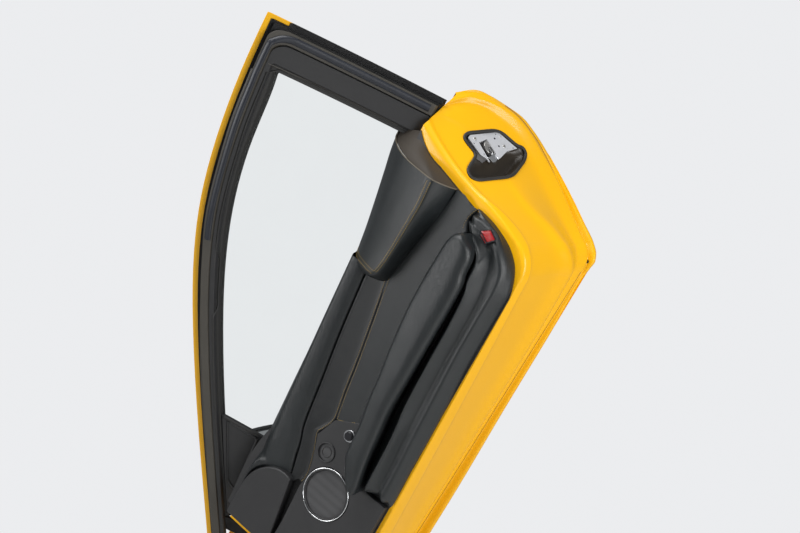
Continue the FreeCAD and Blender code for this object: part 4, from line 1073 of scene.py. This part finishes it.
# %% The board behind the pads
BOARD = [[(228, -4, 172), (400, -4, 172), (640, -4, 100), (1040, -4, 0)],
         [(228, -4, -150), (480, -4, -160), (760, -4, -155), (1030, -4, -140)]]
piece("trim_board", sheet(30, 12, lofted(BOARD)), black_trim, thick=-1.0)
print("the board is", BOARD[0][-1][0] - BOARD[0][0][0], "mm long")

# %% [markdown]
# The red lamp warns traffic when the door stands open. The CAD's lens is flat, so a second one domes
# over its smooth copy between four corners, and a black rim holds it.

# %% The door lamp
LENS = [(1082.8, -36.2, -54.6), (1096.4, -36.2, -73.5), (1084.4, -36.2, -93.6), (1069.7, -36.2, -79.3)]
LENS_DOME = 1.6
corners = [Vector(corner) for corner in LENS]


def lamp_lens(u, v):
    """The lamp's domed lens between its four corners."""
    a, b, c, d = corners
    dome = LENS_DOME * min(1.0, 8 * u * (1 - u)) * min(1.0, 8 * v * (1 - v))
    return a.lerp(b, u).lerp(d.lerp(c, u), v) - Vector((0, dome, 0))


piece("lamp_lens", sheet(18, 12, lamp_lens), red, ("door_lamp",))
rim = Curve(softened(LENS, 3.0), ring=True)
piece("lamp_rim", rope(rim, 1.5, columns=90, around=8), black_gloss)
print("the lamp's lens is", round((corners[1] - corners[0]).length), "mm wide")

# %% [markdown]
# ## The window frame
# The frame is a coated bar with a seal, a cover on the post and the run that the glass slides in.
# The CAD draws them well, so they are copied smooth. The finer seals have to lie on them, and
# `cabin_side` finds where, by a ray from the cabin.

# %% The frame and its faces
for node in ("frame_bar", "frame_seal", "post_cover", "glass_run", "window_glass"):
    smoothed(node, bevel=0.6 if node != "window_glass" else 0.0,
             finish={"frame_seal": flap_rubber, "frame_bar": frame_coat}.get(node))
frame_mesh = bmesh.new()
for node in ("frame_bar", "frame_seal", "post_cover", "glass_run", "roof_rail", "sail_panel"):
    frame_mesh.from_mesh(frame["nodes"][node].data)
frame_faces = BVHTree.FromBMesh(frame_mesh)
print("rays can meet", len(frame_mesh.faces), "faces of the frame")
frame_mesh.free()

# %% [markdown]
# `frame_line` runs along the roof rail, round the rear corner and down the post, at given distances
# from their outer edges. One line for all seals keeps them parallel, as the real ones are.

# %% Lines along the frame
RAIL = [(60, 181), (160, 227), (259, 270), (400, 330), (541, 383), (680, 427), (816, 463), (1000, 487),
        (1130, 494)]
CORNER, POST_FOOT, POST_STEP, FROM_CABIN = (1247, 495), 190, 26.0, -0.3
rail_curve = Curve(deep(RAIL, 0))


def cabin_side(x, z, lift=0.0, otherwise=0.0):
    """The frame's surface seen from the cabin at a place in side view, lifted towards the cabin."""
    hit = frame_faces.ray_cast(turned(x * MM, FROM_CABIN, z * MM), turned(0, 1, 0))[0]
    return Vector((x, (closed(hit).y if hit else otherwise) - lift, z))


def frame_line(rail, post, radius, start=0):
    """Side-view points: along the rail from `start`, round the corner and down the post."""
    top = []
    for k in range(61):
        ahead = rail_curve(min(k / 60 + 0.01, 1)) - rail_curve(max(k / 60 - 0.01, 0))
        top.append(rail_curve(k / 60) + Vector((ahead.z, 0, -ahead.x)).normalized() * rail)
    x, z = CORNER[0] - post, CORNER[1] - rail
    spots = [(p.x, p.z) for p in top if start <= p.x < x - radius]
    spots += [(x - radius + radius * math.sin(angle), z - radius + radius * math.cos(angle))
              for angle in (0.2, 0.5, 0.8, 1.1, 1.4)]
    heights = [z - radius - POST_STEP * k for k in range(12)]
    return spots + [(x, height) for height in heights if height > POST_FOOT]


print("a line 17 mm down the rail has", len(frame_line(17, 20, 30)), "points")

# %% [markdown]
# The frame's fine lines are rubber: a flap along the rail, the bulging seal round the corner, the
# lip that wipes the glass and a line on the post's cover. Each is a flattened rope laid on the frame.

# %% Seals on the frame
def laid(spots, lift):
    """A smooth line over the frame through side-view points."""
    return Curve([cabin_side(x, z, lift) for x, z in spots])


def seal(name, spots, lift, radius, flat, columns, around, finish, up=(0, 1, 0)):
    piece(name, rope(laid(spots, lift), radius, flat, up, columns, around), finish)


rail_only = [spot for spot in frame_line(17, 20, 30) if spot[0] < 1190]
post_only = [(1157, 452), (1157, 400), (1157, 340), (1157, 280), (1157, 235)]
seal("rail_flap", rail_only, 0.8, 6.8, 0.34, 160, 14, flap_rubber, (0, 1, 0.3))
seal("corner_seal", frame_line(33, 27, 34, start=760), 2.0, 7.5, 0.6, 200, 18, seal_rubber_blue_sheen)
seal("run_lip", frame_line(46, 92, 20), 0.6, 2.0, 0.8, 200, 10, rubber)
seal("post_line", post_only, 0.5, 1.0, 0.8, 60, 8, flap_rubber)
print("the flap on the rail is", round(laid(rail_only, 0.8).length), "mm long")

# %% [markdown]
# The sail panel fills the corner in front of the glass. It has a raised border, and a black strip
# closes it against the glass.

# %% The sail panel's border
SAIL = [(394, 262), (384, 194), (236, 188), (250, 207)]
SAIL_STRIP = [(396, 268), (393, 245), (390, 220), (388, 196)]


def border(points, inset, lift):
    """A rounded ring inside a panel's corners, laid on the panel."""
    middle = sum((Vector(p) for p in points), Vector((0, 0))) / len(points)
    spots = softened([tuple(Vector(p).lerp(middle, inset)) for p in points], 9.0)
    return Curve([cabin_side(spot.x, spot.y, lift, 20.0) for spot in spots], ring=True)


piece("sail_border", rope(border(SAIL, 0.06, 0.2), 3.0, 0.5, (0, 1, 0), 140, 10), black_trim)
seal("sail_strip", SAIL_STRIP, 0.8, 4.2, 0.5, 60, 12, rubber)
print("the sail panel's border is", round(border(SAIL, 0.06, 0.2).length), "mm round")

# %% [markdown]
# ## Outside the door
# Mirror and handle are copied smooth. The mirror's tip stood higher than the one in the photograph, so its
# housing and glass are made 20 percent smaller about the middle of their arm. A small drain hole sits low in
# the shut face. It is a black disc laid on the face, its black painted shade of the hole, and the pressing
# stays whole.

# %% Mirror, handle and drain hole
MIRROR_SCALE = 0.80
arm_spots = [vertex.co for vertex in frame["nodes"]["mirror_arm"].data.vertices]
arm = sum(arm_spots, Vector()) / len(arm_spots)
smaller = Matrix.Diagonal((MIRROR_SCALE, MIRROR_SCALE, MIRROR_SCALE, 1))
for thing in (smoothed("mirror_housing", crease=60.0), smoothed("mirror_glass", bevel=0.4)):
    thing.data.transform(Matrix.Translation(arm) @ smaller @ Matrix.Translation(-arm))
smoothed("outer_handle", bevel=0.8)
smoothed("handle_cup", bevel=0.5)
drain = closed(face_of_metal.find_nearest(turned(1.0862, 0.2478, -0.1810))[0])
# The drain hole is a black disc on the face: painted shade of the hole.
piece("drain_hole_shade_disc", disc(drain, 4.2, 1.4, (0.1, -1, 0.1)), black_gloss)
print("the drain is at", [round(value) for value in drain])

# %% [markdown]
# ## What the CAD already draws well
# These nodes keep their form, as smooth copies whose edges are softened to catch the light. The
# frame's bar has a second copy here, in the plain trim finish.

# %% Copied outer parts
for node, soft in (("roof_rail", 0.5), ("frame_bar", 0.5), ("sail_panel", 0.8), ("outer_belt_seal", 0.5),
                   ("inner_belt_seal", 0.5), ("mirror_arm", 0.8), ("hinge_arm", 0.8), ("hinge_bracket", 0.8),
                   ("hinge_pin", 0.6), ("strut_cylinder", 0.4), ("strut_rod", 0.4)):
    smoothed(node, bevel=soft)
print("the door has", len(made), "pieces")

# %% [markdown]
# ## Light, floor and camera
# The light is that of a pale room. A world could give all of it, but then the paint would look flat.
# So only the camera and the glass see the world as pale grey, and it lights the door much less.

# %% The room
WORLD_NODES = ("LightPath", "Background", "Background", "MixShader", "OutputWorld", "Math")
world = bpy.data.worlds.new("room")
bpy.context.scene.world = world
world.use_nodes = True
world.node_tree.nodes.clear()
rays, backdrop, lit, pick, shown, either = [
    world.node_tree.nodes.new("ShaderNode" + kind) for kind in WORLD_NODES]
either.operation = "MAXIMUM"
backdrop.inputs["Color"].default_value = (0.836, 0.845, 0.862, 1)
lit.inputs["Color"].default_value = (0.95, 0.97, 1.0, 1)
lit.inputs["Strength"].default_value = 0.24
for start, end in ((rays.outputs["Is Camera Ray"], either.inputs[0]), (either.outputs[0], pick.inputs[0]),
                   (rays.outputs["Is Transmission Ray"], either.inputs[1]), (lit.outputs[0], pick.inputs[1]),
                   (backdrop.outputs[0], pick.inputs[2]), (pick.outputs[0], shown.inputs[0])):
    world.node_tree.links.new(start, end)
print("the room has", len(world.node_tree.links), "links")

# %% [markdown]
# Soft light falls from the ceiling and from both sides. Large area lights give the long, soft
# highlights that glossy paint needs.

# %% Soft boxes
AIM = Vector((0.25, 0.0, 0.65))


def soft_box(name, place, size, power):
    """A large area light that points from its place at the door."""
    light = bpy.data.lights.new(name, "AREA")
    light.shape, light.size, light.size_y, light.energy = "RECTANGLE", size[0], size[1], power
    thing = bpy.data.objects.new(name, light)
    bpy.context.scene.collection.objects.link(thing)
    thing.location = place
    thing.rotation_euler = (AIM - Vector(place)).to_track_quat("-Z", "Y").to_euler()


soft_box("ceiling", (0.2, -1.2, 3.4), (2.6, 1.6), 88.0)
soft_box("rear_fill", (3.0, -0.9, 0.5), (1.4, 1.8), 60.0)
soft_box("front_fill", (-1.8, -2.6, 1.6), (1.2, 1.6), 52.0)
print("the room is lit")

# %% [markdown]
# A plain floor lies as far below the hinge as the ground lies below a car's.

# %% The floor
FLOOR_AT, FLOOR_RADIUS = (0.2, 0.1, -0.75), 3.2
ground = bmesh.new()
bmesh.ops.create_circle(ground, cap_ends=True, segments=96, radius=FLOOR_RADIUS)
mesh = bpy.data.meshes.new("floor")
ground.to_mesh(mesh)
ground.free()
mesh.transform(Matrix.Translation(FLOOR_AT))
floor = bpy.data.objects.new("floor", mesh)
bpy.context.scene.collection.objects.link(floor)
f = Finish("floor")
floor_tint = f.blend(f.noise(2.0), (0.66, 0.66, 0.65, 1), (0.71, 0.71, 0.70, 1))
floor.data.materials.append(f.surface(Base_Color=floor_tint, Roughness=f.noise(40.0) * 0.2 + 0.6))
print("the floor is", round(floor.dimensions.x, 2), "m wide")

# %% [markdown]
# The photograph was taken from eye height, a few steps from the door. It could be matched by eye, but
# this place, a 55 mm lens and a slight tilt down come from outlines that were measured on it.

# %% The camera
optics = bpy.data.cameras.new("camera")
optics.sensor_width, optics.lens = 36.0, 54.585
camera = bpy.data.objects.new("camera", optics)
bpy.context.scene.collection.objects.link(camera)
turn, tilt = math.radians(30.0), math.radians(1.4)
ahead = Vector((-math.sin(turn) * math.cos(tilt), math.cos(turn) * math.cos(tilt), -math.sin(tilt)))
camera.location = (1.664, -2.156, 0.877)
camera.rotation_mode = "QUATERNION"
camera.rotation_quaternion = ahead.to_track_quat("-Z", "Y")
bpy.context.scene.camera = camera
bpy.context.scene.view_settings.view_transform = "Standard"
